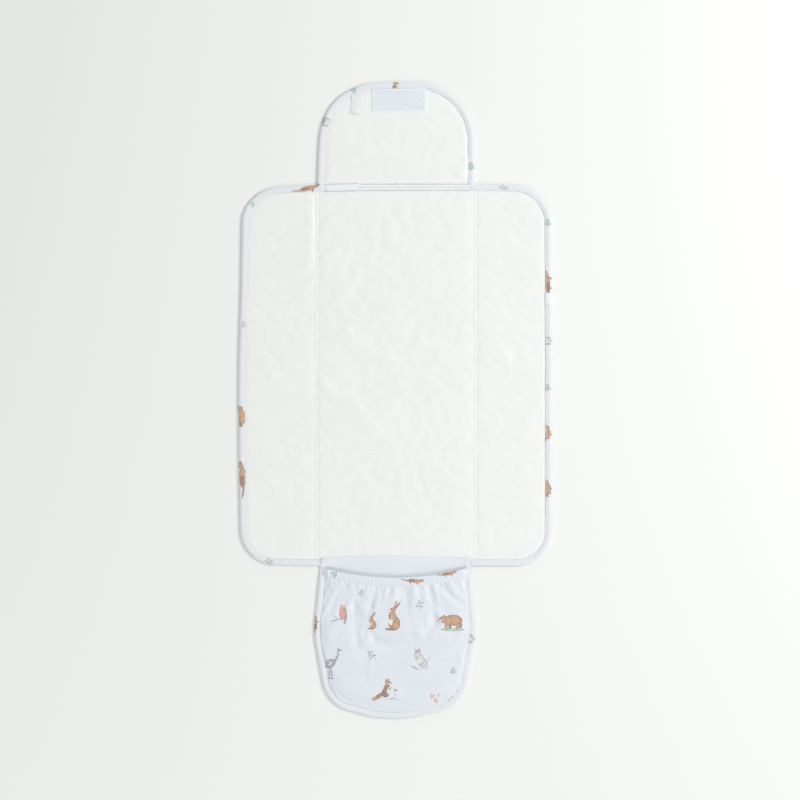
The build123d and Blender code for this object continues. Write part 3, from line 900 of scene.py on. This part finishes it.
def make_folds(grid):
    """Strips and stitching along every fold line."""
    near, far = FOLD_X - SIDE_HALF, FOLD_X + SIDE_HALF
    clear = 12  # the stitching stops this far from the mat's edge
    for side, sign in (("left", -1), ("right", 1)):
        x0, x1 = sorted((sign * near, sign * far))
        for row, (y0, y1) in ROWS.items():
            where = ((f"{row}_centre", f"{row}_{side}"), (sign * near, 0, 0), (sign * far, 0, 0))
            node = "fold_seams_lower_centre" if (side, row) == ("left", "lower") else None
            fold_strip(grid, f"fold_{side}_{row}", (x0, x1, y0, y1), where, node)
            y = np.arange(y0 + (clear if row == "lower" else 0), y1 - (clear if row == "upper" else 0), 4.0)
            rows = [surface_row(grid, [(sign * FOLD_X + o, b) for b in y]) for o in (-STITCH_ROW, STITCH_ROW)]
            attach(stitch_rows(f"fold_stitches_{side}_{row}", rows), where)
    for name, above, below in (("upper", "upper", "middle"), ("lower", "middle", "lower")):
        line, half = ROWS[below][1], LEVEL_HALF[name]
        where = ((f"{above}_centre", f"{below}_centre"), (0, line + half, 0), (0, line - half, 0))
        box = (-near, near, line - half, line + half)
        fold_strip(grid, f"fold_{name}", box, where, f"fold_seams_{above}_centre")
        row = surface_row(grid, [(x, line) for x in np.arange(-near, near + 1, 4.0)])
        attach(stitch_rows(f"fold_stitches_{name}", [row], *LEVEL_STITCH), where)
        for side, sign in (("left", -1), ("right", 1)):
            row = surface_row(grid, [(sign * x, line) for x in np.arange(far, MAT_RIGHT - BINDING - 1, 4.0)])
            seam = stitch_rows(f"fold_stitches_{name}_{side}", [row], *LEVEL_STITCH)
            attach(seam, f"{above}_{side}", f"fold_seam_{above}_{side}")


def make_mat_binding():
    """The mat's binding: a length for each outside cell, and short lengths across the folds."""
    near, far = FOLD_X - SIDE_HALF, FOLD_X + SIDE_HALF
    right, head, foot = MAT_RIGHT, MAT_HEAD, MAT_FOOT
    lengths = {
        "upper_left": ([(-right, UPPER_Y), (-right, head), (-far, head)], [MAT_CORNER]),
        "upper_centre": ([(-near, head), (near, head)], []),
        "upper_right": ([(far, head), (right, head), (right, UPPER_Y)], [MAT_CORNER]),
        "middle_right": ([(right, UPPER_Y), (right, LOWER_Y)], []),
        "lower_right": ([(right, LOWER_Y), (right, foot), (far, foot)], [MAT_CORNER]),
        "lower_centre": ([(near, foot), (-near, foot)], []),
        "lower_left": ([(-far, foot), (-right, foot), (-right, LOWER_Y)], [MAT_CORNER]),
        "middle_left": ([(-right, LOWER_Y), (-right, UPPER_Y)], []),
    }
    for name, (points, radii) in lengths.items():
        # the foot's middle is flat under the pocket's root, and the head's middle under the flap's base
        top = {"lower_centre": 2.4, "upper_centre": 3.0}.get(name, BOUND_TOP)
        rows_sewn = slice(1, None) if name == "lower_centre" else slice(None)
        # the flap's base gets the paler copy of the binding cotton, painted light over its shade
        cloth = LIGHTENED_BINDING_CLOTH if name == "upper_centre" else BINDING_CLOTH
        path = rounded_path(points, radii)
        sewn_edge(f"bound_edge_{name}", path, top, name, f"binding_{name}", rows_sewn, cloth=cloth)
    for row, y in (("upper", head), ("lower", foot)):
        for side, sign in (("left", -1), ("right", 1)):
            ends = [(sign * near, y), (sign * far, y)]
            where = ((f"{row}_centre", f"{row}_{side}"), (sign * near, 0, 0), (sign * far, 0, 0))
            if (sign > 0) != (row == "upper"):
                ends.reverse()
            sewn_edge(f"bound_edge_fold_{row}_{side}", rounded_path(ends, [], FOLD_STEP), BOUND_TOP, where)


def make_joins():
    """Where lengths of binding overlap, and the doubled base that the flap is sewn on with."""
    near, right, head = FOLD_X - SIDE_HALF, MAT_RIGHT, MAT_HEAD
    for body, what, points, wide, proud in (
        ("upper_centre", "join", [(-108, head + 0.8), (-56, head + 1.4)], BINDING + 2.0, 0.3),
        ("upper_centre", "flap_base", [(-near, head - 0.6), (near, head - 0.6)], 4.8, 0.2),
        ("upper_right", "join", [(right + 0.5, 166), (right + 0.5, 149)], BINDING + 0.8, 0.7),
    ):
        path = rounded_path(points, [])
        top = BOUND_TOP + proud
        # the joins and the base use the binding cotton painted paler, as painted light
        end, rows = bound_edge(f"binding_{what}_{body}", path, top, seed=70.0, wide=wide, cloth=LIGHTENED_BINDING_CLOTH)
        attach(end, body)
        attach(stitch_rows(f"binding_{what}_stitches_{body}", rows[:1]), body)
    # the base is sewn down in grey along both its edges and its middle, and round the join; the grey thread
    # is partly the real stitching and partly painted shade, the dark lines at the base's edges and round the
    # join
    left, stop, high = -107.5, -57, 3.95
    heights = ((head - 0.1, 2.7), (head - 5.6, 3.25), (head - 10.2, 2.9))
    ends = [((-near, y, z), (near, y, z)) for y, z in heights]
    ends += [((x, head - 11, high), (x, head + 1, high)) for x in (left, stop)]
    ends += [((left, y, high), (stop, y + 0.6, high)) for y in (head, head - 11)]
    rows = [settle(np.linspace(a, b, 60)) for a, b in ends]
    seam = stitch_rows("flap_base_stitches", rows, 3.0, 2.8, 0.38, SHADE_LINE_THREAD)
    attach(seam, "upper_centre")


# ---------------------------------------------------------------- the flap
def flap_heights(x, y):
    """The flap's lining and underside heights."""
    edge = inside_corner(x, y, FLAP_RIGHT, FLAP_HEAD, 2 * MAT_HEAD - FLAP_HEAD, FLAP_CORNER) - BINDING
    root = np.maximum(y - MAT_HEAD, 0)
    near = np.minimum(np.maximum(edge, 0), root)
    top = 2.4 + 0.9 * (1 - np.exp(-near / 4)) + 0.6 * (1 - np.exp(-near / 30)) + 0.3 * rough(x, y, 55, 21.0)
    under = 1.2 * np.exp(-near / 9) + 0.2 * (1 + rough(x, y, 50, 22.0)) * (1 - np.exp(-near / 15))
    return edge, root, top, on_leg(under, edge)


# Creases in the flap's lining, told in the same way
FLAP_CREASES = [
    ([(-113, 341), (-106, 349), (-98, 355)], 2.16, 0.8),
    ([(-112, 352), (-104, 359), (-97, 362)], 2.16, 0.6),
    ([(112, 342), (100, 347), (88, 356)], 2.16, 0.9),
    ([(113, 349), (104, 355), (94, 364)], 2.16, 0.8),
    ([(113, 358), (106, 364), (99, 371)], 1.92, 0.7),
    ([(112, 368), (107, 374), (102, 381)], 1.92, 0.6),
    ([(110, 400), (103, 408), (99, 418)], 2.16, 0.5),
    ([(-104, 455), (-98, 447), (-90, 442)], 2.4, 0.5),
    ([(96, 455), (86, 446), (74, 441)], 2.64, 0.5),
    ([(60, 437), (30, 444), (0, 442)], 3.6, 0.4),
    ([(-60, 420), (-10, 430), (50, 422)], 4.8, 0.3),
    ([(-20, 380), (40, 372), (80, 385)], 4.2, 0.3),
]


def make_flap():
    """The closing flap: lining, wadding, outer, binding, and the strip it folds on."""
    fold_end = FLAP_FOLD_Y + 12
    xs = lines([-FLAP_RIGHT + 1, FLAP_RIGHT - 1], GRID_STEP)
    ys = lines([MAT_HEAD - 4, MAT_HEAD, fold_end, FLAP_HEAD - 1], GRID_STEP)
    x, y = np.meshgrid(xs, ys, indexing="ij")
    edge, root, top_z, under_z = flap_heights(x, y)
    start = np.stack([x, y, top_z + 0.2 * rough(x, y, 14, 23.0)], -1)
    top = wrinkled(start, (edge < 1.5) | (root < 1.0), 0.005, 0.12)
    z = top[..., 2]
    z += 0.38 * puckers(x, y, 115 * np.arctan2(y - MAT_HEAD - 30, x), edge - 1, 7, 7.0, 24.0)
    z += 0.35 * puckers(x, y, x, root, 5, 8.0, 25.0)
    for points, width, height in FLAP_CREASES:
        z += crease(x, y, points, width, height)
    tuck = np.clip((2.0 - edge) / 4.0, 0, 1)
    top[..., 2] = np.maximum(z * (1 - tuck) + 2.4 * tuck, under_z + LEAST_THICK)
    grid = (xs, ys, top, np.stack([x, y, under_z], -1), whole_squares(edge + BINDING > TUCKED))
    size = (2 * FLAP_RIGHT, FLAP_HEAD - fold_end)
    make_layers(*piece_of_grid(grid, xs[0], xs[-1], fold_end, ys[-1]), "flap", "flap_{}", size)

    where = (("upper_centre", "flap"), (0, MAT_HEAD, 0), (0, fold_end, 0))
    top, under, keep = piece_of_grid(grid, xs[0], xs[-1], ys[0], fold_end)
    strip = slab("flap_fold", settle(top), settle(under), [LINING, OUTER_CLOTH], keep, top)
    attach(strip, where, "flap_fold_seam")

    right = FLAP_RIGHT
    path = rounded_path([(-right, fold_end), (-right, FLAP_HEAD), (right, FLAP_HEAD), (right, fold_end)],
                        [FLAP_CORNER] * 2)
    sewn_edge("flap_bound_edge", path, BOUND_TOP, "flap", "flap_binding", seed=30.0)
    for side, sign in (("left", -1), ("right", 1)):
        # both sides are bound in one direction, up the left one and down the right one
        path = rounded_path([(sign * right, MAT_HEAD - 2), (sign * right, fold_end)][::-sign], [], FOLD_STEP)
        sewn_edge(f"flap_bound_edge_root_{side}", path, BOUND_TOP, where, seed=30.0)
    return grid


def height_on(grid, x, y):
    """The lining's height at a few points of a grid."""
    return surface_row(grid, list(zip(np.ravel(x), np.ravel(y))))[:, 2].reshape(np.shape(x))


def make_hook_tape(grid):
    """The hook tape on the flap's lining: a sewn-down base with rows of small moulded hooks."""
    low, high = box_mm("hook_tape")
    xs, ys = lines([low[0], high[0]], 2.8), lines([low[1], high[1]], 2.8)
    x, y = np.meshgrid(xs, ys, indexing="ij")
    z = height_on(grid, x, y)
    base = np.stack([x, y, z.mean() + 0.4 * (z - z.mean()) + 0.75], -1)
    sheet = slab("hook_tape_base", settle(base), settle(down(base, 0.7)), [HOOK_TAPE], uv=base)
    attach(sheet, "flap", "hook_tape")

    pitch = 1.3
    profile = [(0, 0, 0.26), (0, 0.4, 0.2), (0.25, 0.62, 0.17), (0.5, 0.5, 0.12)]  # lean, height, half width
    verts, faces = [], []
    for row, hy in enumerate(np.arange(low[1] + 2 * pitch, high[1] - 2.2, pitch)):
        lean = 1 if row % 2 else -1
        for hx in np.arange(low[0] + 2 * pitch + 0.5 * (row % 2), high[0] - 2.2, pitch):
            foot = base[np.searchsorted(xs, hx) - 1, np.searchsorted(ys, hy) - 1, 2]
            first = len(verts)
            for dx, dz, half in profile:
                for sx, sy in ((-1, -1), (1, -1), (1, 1), (-1, 1)):
                    verts.append((hx + lean * dx + sx * half, hy + sy * half, foot + dz))
            for r in range(3):
                for k in range(4):
                    a, b = first + 4 * r + k, first + 4 * r + (k + 1) % 4
                    faces.append((a, b, b + 4, a + 4))
            faces.append(tuple(first + 12 + k for k in range(4)))
            faces.append(tuple(first + k for k in range(3, -1, -1)))
    hooks = new_piece("hook_tape_hooks", settle(verts), faces, [HOOK_TAPE], crease=80)
    attach(hooks, "flap")

    (x0, y0), (x1, y1) = low[:2] + 1.7, high[:2] - 1.7
    corners = [(x0, y0), (x1, y0), (x1, y1), (x0, y1), (x0, y0)]
    rows = []
    for a, b in zip(corners, corners[1:]):
        line = np.linspace(a, b, 12)
        rows.append(np.column_stack([line, height_on(grid, *line.T) + 0.85]))
    attach(stitch_rows("hook_tape_stitches", rows, 2.6, 1.9), "flap")


def make_loop_tape():
    """The loop tape on the outside of the middle cell, brushed into a low pile."""
    low, high = box_mm("loop_tape")
    x, y = np.meshgrid(lines([low[0], high[0]], 1.6), lines([low[1], high[1]], 1.6), indexing="ij")
    inset = np.minimum(np.minimum(x - low[0], high[0] - x), np.minimum(y - low[1], high[1] - y))
    pile = 0.28 * (1 + rough(x, y, 2.1, 31.0)) * np.clip((inset - 2.4) / 1.2, 0, 1)
    face = np.stack([x, y, 0.62 - 0.12 * np.clip(inset, 0, 1) - pile], -1)
    back = np.stack([x, y, np.full_like(x, 0.75)], -1)
    piece = slab("loop_tape_pile", settle(back), settle(face), [LOOP_TAPE], uv=face)
    attach(piece, "middle_centre", "loop_tape")


def make_care_label(grid):
    """A blank satin care label caught under the flap's binding, its free end a little lifted."""
    low, high = box_mm("care_label")
    centre = (low + high) / 2
    wide, long, tilt = 15.5, 30.0, math.radians(-8)
    u, v = np.meshgrid(np.linspace(-0.5, 0.5, 9), np.linspace(-0.5, 0.5, 17), indexing="ij")
    x = centre[0] + u * wide * math.cos(tilt) - v * long * math.sin(tilt)
    y = centre[1] + u * wide * math.sin(tilt) + v * long * math.cos(tilt)
    free = 0.5 - v
    lifted = 0.25 + 1.1 * free**2 + 0.9 * free * np.cos(u * 3.0) - 0.5 * free
    top = np.stack([x, y, height_on(grid, x, y).max() + lifted], -1)
    label = slab("care_label_ribbon", settle(top), settle(down(top, 0.22)), [LABEL], uv=top)
    attach(label, "flap", "care_label")


# ---------------------------------------------------------------- the pocket
ROOT_TOP = MAT_FOOT + 13  # the pocket's back and sides are sewn on over the mat's foot edge
POCKET_SIDE = POCKET_RIGHT + 1.4  # its corners before they are rounded: widest, lower corner and foot
POCKET_WIDEST_Y = -360
POCKET_CORNER = (106, -471)
POCKET_TIP_Y = -501.2
POCKET_SHAPE = [
    (POCKET_ROOT, ROOT_TOP), (POCKET_SIDE, POCKET_WIDEST_Y), POCKET_CORNER, (0, POCKET_TIP_Y),
    (-POCKET_CORNER[0], POCKET_CORNER[1]), (-POCKET_SIDE, POCKET_WIDEST_Y), (-POCKET_ROOT, ROOT_TOP),
]
POCKET_RADII = [150, 56, 200, 56, 150]
POCKET_BINDING = 9.6
POCKET_EDGE_TOP = 3.4  # height of the pocket's binding
POCKET_MOST = 8.1  # height where the front starts to be pressed flat, for the folded packet's sake
MOUTH_DIP_Y = -274.5
MOUTH_RADIUS = 404
CASING = 15.0  # from the mouth's edge to the end of the casing
CASING_SEAM = 13.8  # and to its stitching


def over_mat(y):
    """How much the pocket's root is raised where it lies on the mat's foot edge."""
    return 3.0 / (1 + np.exp((MAT_FOOT - 2 - y) / 2.6))


def thin_root(y):
    """The pocket's binding is flatter at the root, where only its back is inside."""
    return 0.36 + 0.64 * np.clip((MAT_FOOT - 2 - y) / 18, 0, 1)


def root_arc(x, y):
    """The pocket's back is sewn on along a soft arc."""
    return 2.8 * (1 - (x / POCKET_ROOT) ** 2) * np.clip((y - MAT_FOOT + 6) / 14, 0, 1)


def pocket_half_width(y):
    """The pocket's half width at a height, from its own outline."""
    at = rounded_path(POCKET_SHAPE, POCKET_RADII, 2.0)[0]
    half = at[at[:, 0] > 0]
    order = np.argsort(half[:, 1])
    return np.interp(y, half[order, 1], half[order, 0])


def pocket_side(y):
    """The pocket's half width at a height, its lower corner not yet rounded."""
    heights = [POCKET_CORNER[1], POCKET_WIDEST_Y, ROOT_TOP]
    return np.minimum(np.interp(y, heights, [POCKET_CORNER[0], POCKET_SIDE, POCKET_ROOT]), POCKET_RIGHT)


def pocket_foot_line(x):
    """The pocket's foot edge, from its own outline."""
    at = rounded_path(POCKET_SHAPE, POCKET_RADII, 2.0)[0]
    low = at[at[:, 1] < -420]
    order = np.argsort(low[:, 0])
    return np.interp(x, low[order, 0], low[order, 1])


def mouth_line(x):
    """Where the front's edge runs across the pocket: an arc that dips in the middle."""
    return MOUTH_DIP_Y + MOUTH_RADIUS - np.sqrt(MOUTH_RADIUS**2 - x**2)


# The pocket's root bends with its fold: 8 mm each side of the line, as far as POCKET_SPLIT
POCKET_BEND = (("lower_centre", "pocket"), (0, POCKET_FOLD_Y + 8, 0), (0, POCKET_FOLD_Y - 8, 0))
POCKET_SPLIT = POCKET_FOLD_Y - 14


def make_pocket_back():
    """The pocket's back: the outer below and the lining side above, with the root as a piece of its own
    across the fold.
    """
    xs = lines([-POCKET_RIGHT, POCKET_RIGHT], 4.0)
    ys = lines([POCKET_FOOT, POCKET_SPLIT, POCKET_FOLD_Y, ROOT_TOP], 3.5)
    x, y = np.meshgrid(xs, ys, indexing="ij")
    foot = pocket_foot_line(np.clip(x, -110, 110))
    keep = whole_squares((np.abs(x) < pocket_half_width(y) - TUCKED) & (y > foot + TUCKED))
    lower = np.stack([x, y + root_arc(x, y), over_mat(y) + 0.25 * (1 + rough(x, y, 45, 41.0))], -1)
    upper = down(lower, -0.75)
    upper[..., 2] += 0.3 * rough(x, y, 22, 42.0) + 0.25 * puckers(x, y, x, ROOT_TOP - 2 - y, 6, 9, 43.0)
    grid = (xs, ys, upper, lower, keep)
    top, under, kept = piece_of_grid(grid, xs[0], xs[-1], ys[0], POCKET_SPLIT)
    thick = 0.35
    middle, above = settle(down(under, -thick)), settle(down(under, -thick - BETWEEN))
    outer = slab("pocket_back_outer_cloth", middle, settle(under), [OUTER_CLOTH], kept, top)
    back = slab("pocket_back_lining_cloth", settle(top), above, [POCKET_BACK], kept, top)
    attach(outer, "pocket", "pocket_back_outer")
    attach(back, "pocket", "pocket_back_lining")

    top, under, kept = piece_of_grid(grid, xs[0], xs[-1], POCKET_SPLIT, ys[-1])
    root = slab("pocket_root_cloth", settle(top), settle(under), [POCKET_BACK, OUTER_CLOTH], kept, top)
    attach(root, POCKET_BEND, "pocket_root_panel")
    hem = np.linspace(-POCKET_ROOT + 10, POCKET_ROOT - 10, 80)
    hem_y = np.full_like(hem, ROOT_TOP - 1.6)
    sewn = np.column_stack([hem, hem_y + root_arc(hem, hem_y), over_mat(hem_y) + 1.1])
    attach(stitch_rows("pocket_root_stitches", [settle(sewn)]), POCKET_BEND)


def make_pocket_binding():
    """Binding round the pocket's sides and foot, its root ends as lengths of their own across the fold."""
    at, normal = rounded_path(POCKET_SHAPE, POCKET_RADII)
    first, last = np.where(at[:, 1] < POCKET_SPLIT + 0.5)[0][[0, -1]]
    for end, part, where, node in (
        ("", slice(first, last + 1), "pocket", "pocket_binding"),
        ("_root_right", slice(0, first + 1), POCKET_BEND, None),
        ("_root_left", slice(last, len(at)), POCKET_BEND, None),
    ):
        path = (at[part], normal[part])
        how = {"seed": 50.0, "wide": POCKET_BINDING, "lift": over_mat, "full": thin_root}
        sewn_edge(f"pocket_bound_edge{end}", path, POCKET_EDGE_TOP, where, node, **how)


# Long folds in the pocket's front, each with its points, half width and depth
POCKET_FOLDS = [
    ([(-62, -318), (-60, -348), (-56, -377)], 7, 2.9),
    ([(-37, -314), (-40, -337), (-35, -359), (-28, -371)], 6, 1.8),
    ([(-28, -371), (-5, -380), (21, -380), (49, -368), (61, -339)], 9, 3.6),
    ([(-86, -290), (-93, -307), (-101, -330)], 4.5, 1.7),
    ([(-73, -291), (-77, -312), (-84, -330)], 4, 1.5),
    ([(-58, -289), (-62, -318)], 3.8, 1.6),
    ([(-28, -291), (-35, -322)], 4.5, 1.7),
    ([(-8, -292), (-10, -318)], 4, 1.0),
    ([(12, -291), (21, -322), (27, -346)], 5.5, 1.4),
    ([(36, -290), (42, -312)], 4, 1.1),
    ([(52, -289), (60, -322), (64, -348)], 5.5, 1.8),
    ([(72, -287), (88, -305), (103, -315)], 4.5, 1.6),
    ([(92, -363), (89, -386), (91, -405)], 8, 1.4),
    ([(-27, -395), (-26, -425)], 9, 1.0),
    ([(-88, -358), (-92, -388)], 8, 1.2),
    ([(-106, -300), (-110, -345), (-111, -380)], 4.5, 1.0),
    ([(10, -425), (40, -432), (70, -428)], 12, 0.6),
]


def front_height(x, y, down_mouth, edge):
    """The pocket's front: full in the middle, with folds that run down and outwards from the gathers."""
    reach = 10 + 12 * np.clip((-425 - y) / 45, 0, 1)
    rise = 1 - np.exp(-np.maximum(edge, 0) / reach)
    z = 2.5 + 0.5 * np.clip(edge + 1, 0, 1) + 1.4 * (1 - np.exp(-np.maximum(edge, 0) / 1.2))
    z += 2.9 * rise + 0.5 * rough(x, y, 40, 64.0) * rise
    z += 2.0 * np.exp(-((((x - 12) / 58) ** 2 + ((y + 338) / 36) ** 2) ** 1.5)) * rise
    fan = x / (1 + down_mouth / 215)
    wander = 3.5 * rough(fan, y * 0.4, 30, 61.0)
    narrow = np.sin((fan + wander) / 1.05) * np.exp(-((down_mouth - 13) / 13) ** 2)
    middle = np.sin((fan + 1.4 * wander) / 2.1 + 1.0) * np.exp(-((down_mouth - 22) / 20) ** 2)
    wide = np.sin((fan + 1.8 * wander) / 4.2 + 2.0) * np.exp(-((down_mouth - 40) / 34) ** 2)
    z += (0.45 * narrow + 0.75 * middle + 0.8 * wide) * rise * (0.75 + 0.5 * rough(fan, y, 22, 62.0))
    for points, width, depth in POCKET_FOLDS:
        z -= depth * np.exp(-((along_points(x, y, points)[0] / width) ** 2)) * rise
    return z


def make_pocket_front():
    """The front: gathered on the elastic along the mouth, its fullness running out downwards."""
    # u runs across and v from the mouth to the foot; the cloth's edge is tucked 5 mm under the binding
    tucked = 5.0
    u, v = np.meshgrid(np.linspace(-1, 1, 281), np.linspace(0, 1, 112) ** 1.15, indexing="ij")
    mouth_x = u * (POCKET_ROOT - tucked)
    mouth_y = mouth_line(mouth_x)
    foot_y = np.full_like(u, -470.0)
    for _ in range(4):
        foot_y = pocket_foot_line(u * (pocket_side(foot_y) - tucked)) + tucked
    y = mouth_y + (foot_y - mouth_y) * v
    x = u * (np.minimum(pocket_side(y), pocket_half_width(y)) - tucked)
    down_mouth = np.hypot(x - mouth_x, y - mouth_y)
    edge = along_points(x, y, rounded_path(POCKET_SHAPE, POCKET_RADII)[0])[0] - POCKET_BINDING
    z = front_height(x, y, down_mouth, edge)
    # the casing: a rolled edge over the elastic, ruffled, with its stitching drawn in below it
    side = np.clip((np.maximum(edge, -5) + 5) / 9, 0, 1)
    ruffle = np.sin(mouth_x / 0.78 + 4.5 * rough(mouth_x, y, 13, 65.0))
    ruffle *= 0.55 + 0.75 * rough(mouth_x, y, 9, 66.0)
    roll = np.sin(np.clip(down_mouth / 13.5, 0, 1) * math.pi) ** 0.5
    tube = 5.6 + 2.2 * roll + 0.42 * ruffle * (0.4 + 0.6 * roll)
    share = np.clip((CASING - down_mouth) / 3.0, 0, 1)
    z = z * (1 - share) + (3.2 + (tube - 3.2) * side) * share
    z -= 0.9 * np.exp(-(((down_mouth - CASING_SEAM) / 1.1) ** 2)) * side
    pinned = (down_mouth < CASING) | (edge < 1.0)
    front = wrinkled(np.stack([x, y, z], -1), pinned, 0.016, 1.6, frames=14, bending=0.2)
    front[..., 2] = pressed(front[..., 2], POCKET_MOST)
    top, under = settle(front), settle(down(front, 0.45))
    cloth = slab("pocket_front_cloth", top, under, [POCKET_CLOTH, POCKET_BACK], uv=front)
    attach(cloth, "pocket", "pocket_front")
    # about 250 mm wide as it lies, with some 15 per cent more cloth taken up in the gathers
    column = np.argmin(np.abs(down_mouth[len(u) // 2] - CASING_SEAM))
    seam = stitch_rows("casing_stitches", [top[8:-8, column] + (0, 0, 0.15)], 3.0, 2.0)
    attach(seam, "pocket")


def make_mouth_elastic():
    """The flat elastic inside the casing, wavy where the cloth is gathered on it."""
    low, high = box_mm("mouth_elastic")
    x, inset = np.meshgrid(lines([low[0], high[0]], 2.5), np.linspace(3.0, 11.0, 5), indexing="ij")
    band = np.stack([x, mouth_line(x) - inset, 7.0 + 0.25 * np.sin(x / 1.25)], -1)
    elastic = slab("mouth_elastic_band", settle(band)[:, ::-1], settle(down(band, 0.9))[:, ::-1], [ELASTIC])
    attach(elastic, "pocket", "mouth_elastic")


# ---------------------------------------------------------------- stage
def make_stage():
    """A plain pale floor, soft light from the right, and a camera looking straight down."""
    size, level = 9000.0, -0.3
    corners = [(-size, -size, level), (size, -size, level), (size, size, level), (-size, size, level)]
    floor = new_piece("floor", corners, [(0, 1, 2, 3)], [])
    material, tree, shader = node_material("floor_paper", (0.89, 0.89, 0.87), 0.9, 0, 0.2)
    grain = add_node(tree, "ShaderNodeTexNoise", {"Scale": 9.0, "Detail": 4.0}).outputs["Fac"]
    tint = mix_colour(tree, grain, (0.885, 0.89, 0.852, 1), (0.90, 0.905, 0.872, 1))
    tree.links.new(tint, shader.inputs["Base Color"])
    floor.data.materials.append(material)

    world = bpy.data.worlds.new("soft_room")
    bpy.context.scene.world = world
    world.use_nodes = True
    sky = world.node_tree.nodes["Background"]
    sky.inputs[0].default_value = (0.96, 0.98, 1.0, 1)
    sky.inputs[1].default_value = 0.505

    for name, place, wide, power in (
        ("key", (2.6, 0.8, 2.1), 1.6, 66.5),
        ("graze", (0.5, 3.2, 1.0), 1.2, 11.5),
        ("fill", (-0.9, -2.6, 2.2), 1.8, 30),
    ):
        lamp = bpy.data.lights.new(name, "AREA")
        lamp.shape = "DISK"
        lamp.size = wide
        lamp.energy = power
        holder = bpy.data.objects.new(name, lamp)
        holder.location = place
        holder.rotation_euler = (-Vector(place)).to_track_quat("-Z", "Y").to_euler()
        bpy.context.scene.collection.objects.link(holder)

    view = bpy.data.cameras.new("overhead")
    view.lens = 85
    camera = bpy.data.objects.new("overhead", view)
    span = 1.2575 * (cad_high.y - cad_low.y)
    camera.location = (0.0068, 0.0004, span * view.lens / view.sensor_width)
    bpy.context.scene.collection.objects.link(camera)
    bpy.context.scene.camera = camera
    bpy.context.scene.view_settings.view_transform = "Standard"


# ---------------------------------------------------------------- everything
make_stage()
mat = mat_grid()
for row_name in ROWS:
    for column_name in ("left", "centre", "right"):
        make_cell(mat, row_name, column_name)
make_folds(mat)
make_mat_binding()
make_joins()
flap = make_flap()
make_hook_tape(flap)
make_care_label(flap)
make_loop_tape()
make_pocket_back()
make_pocket_binding()
make_pocket_front()
make_mouth_elastic()
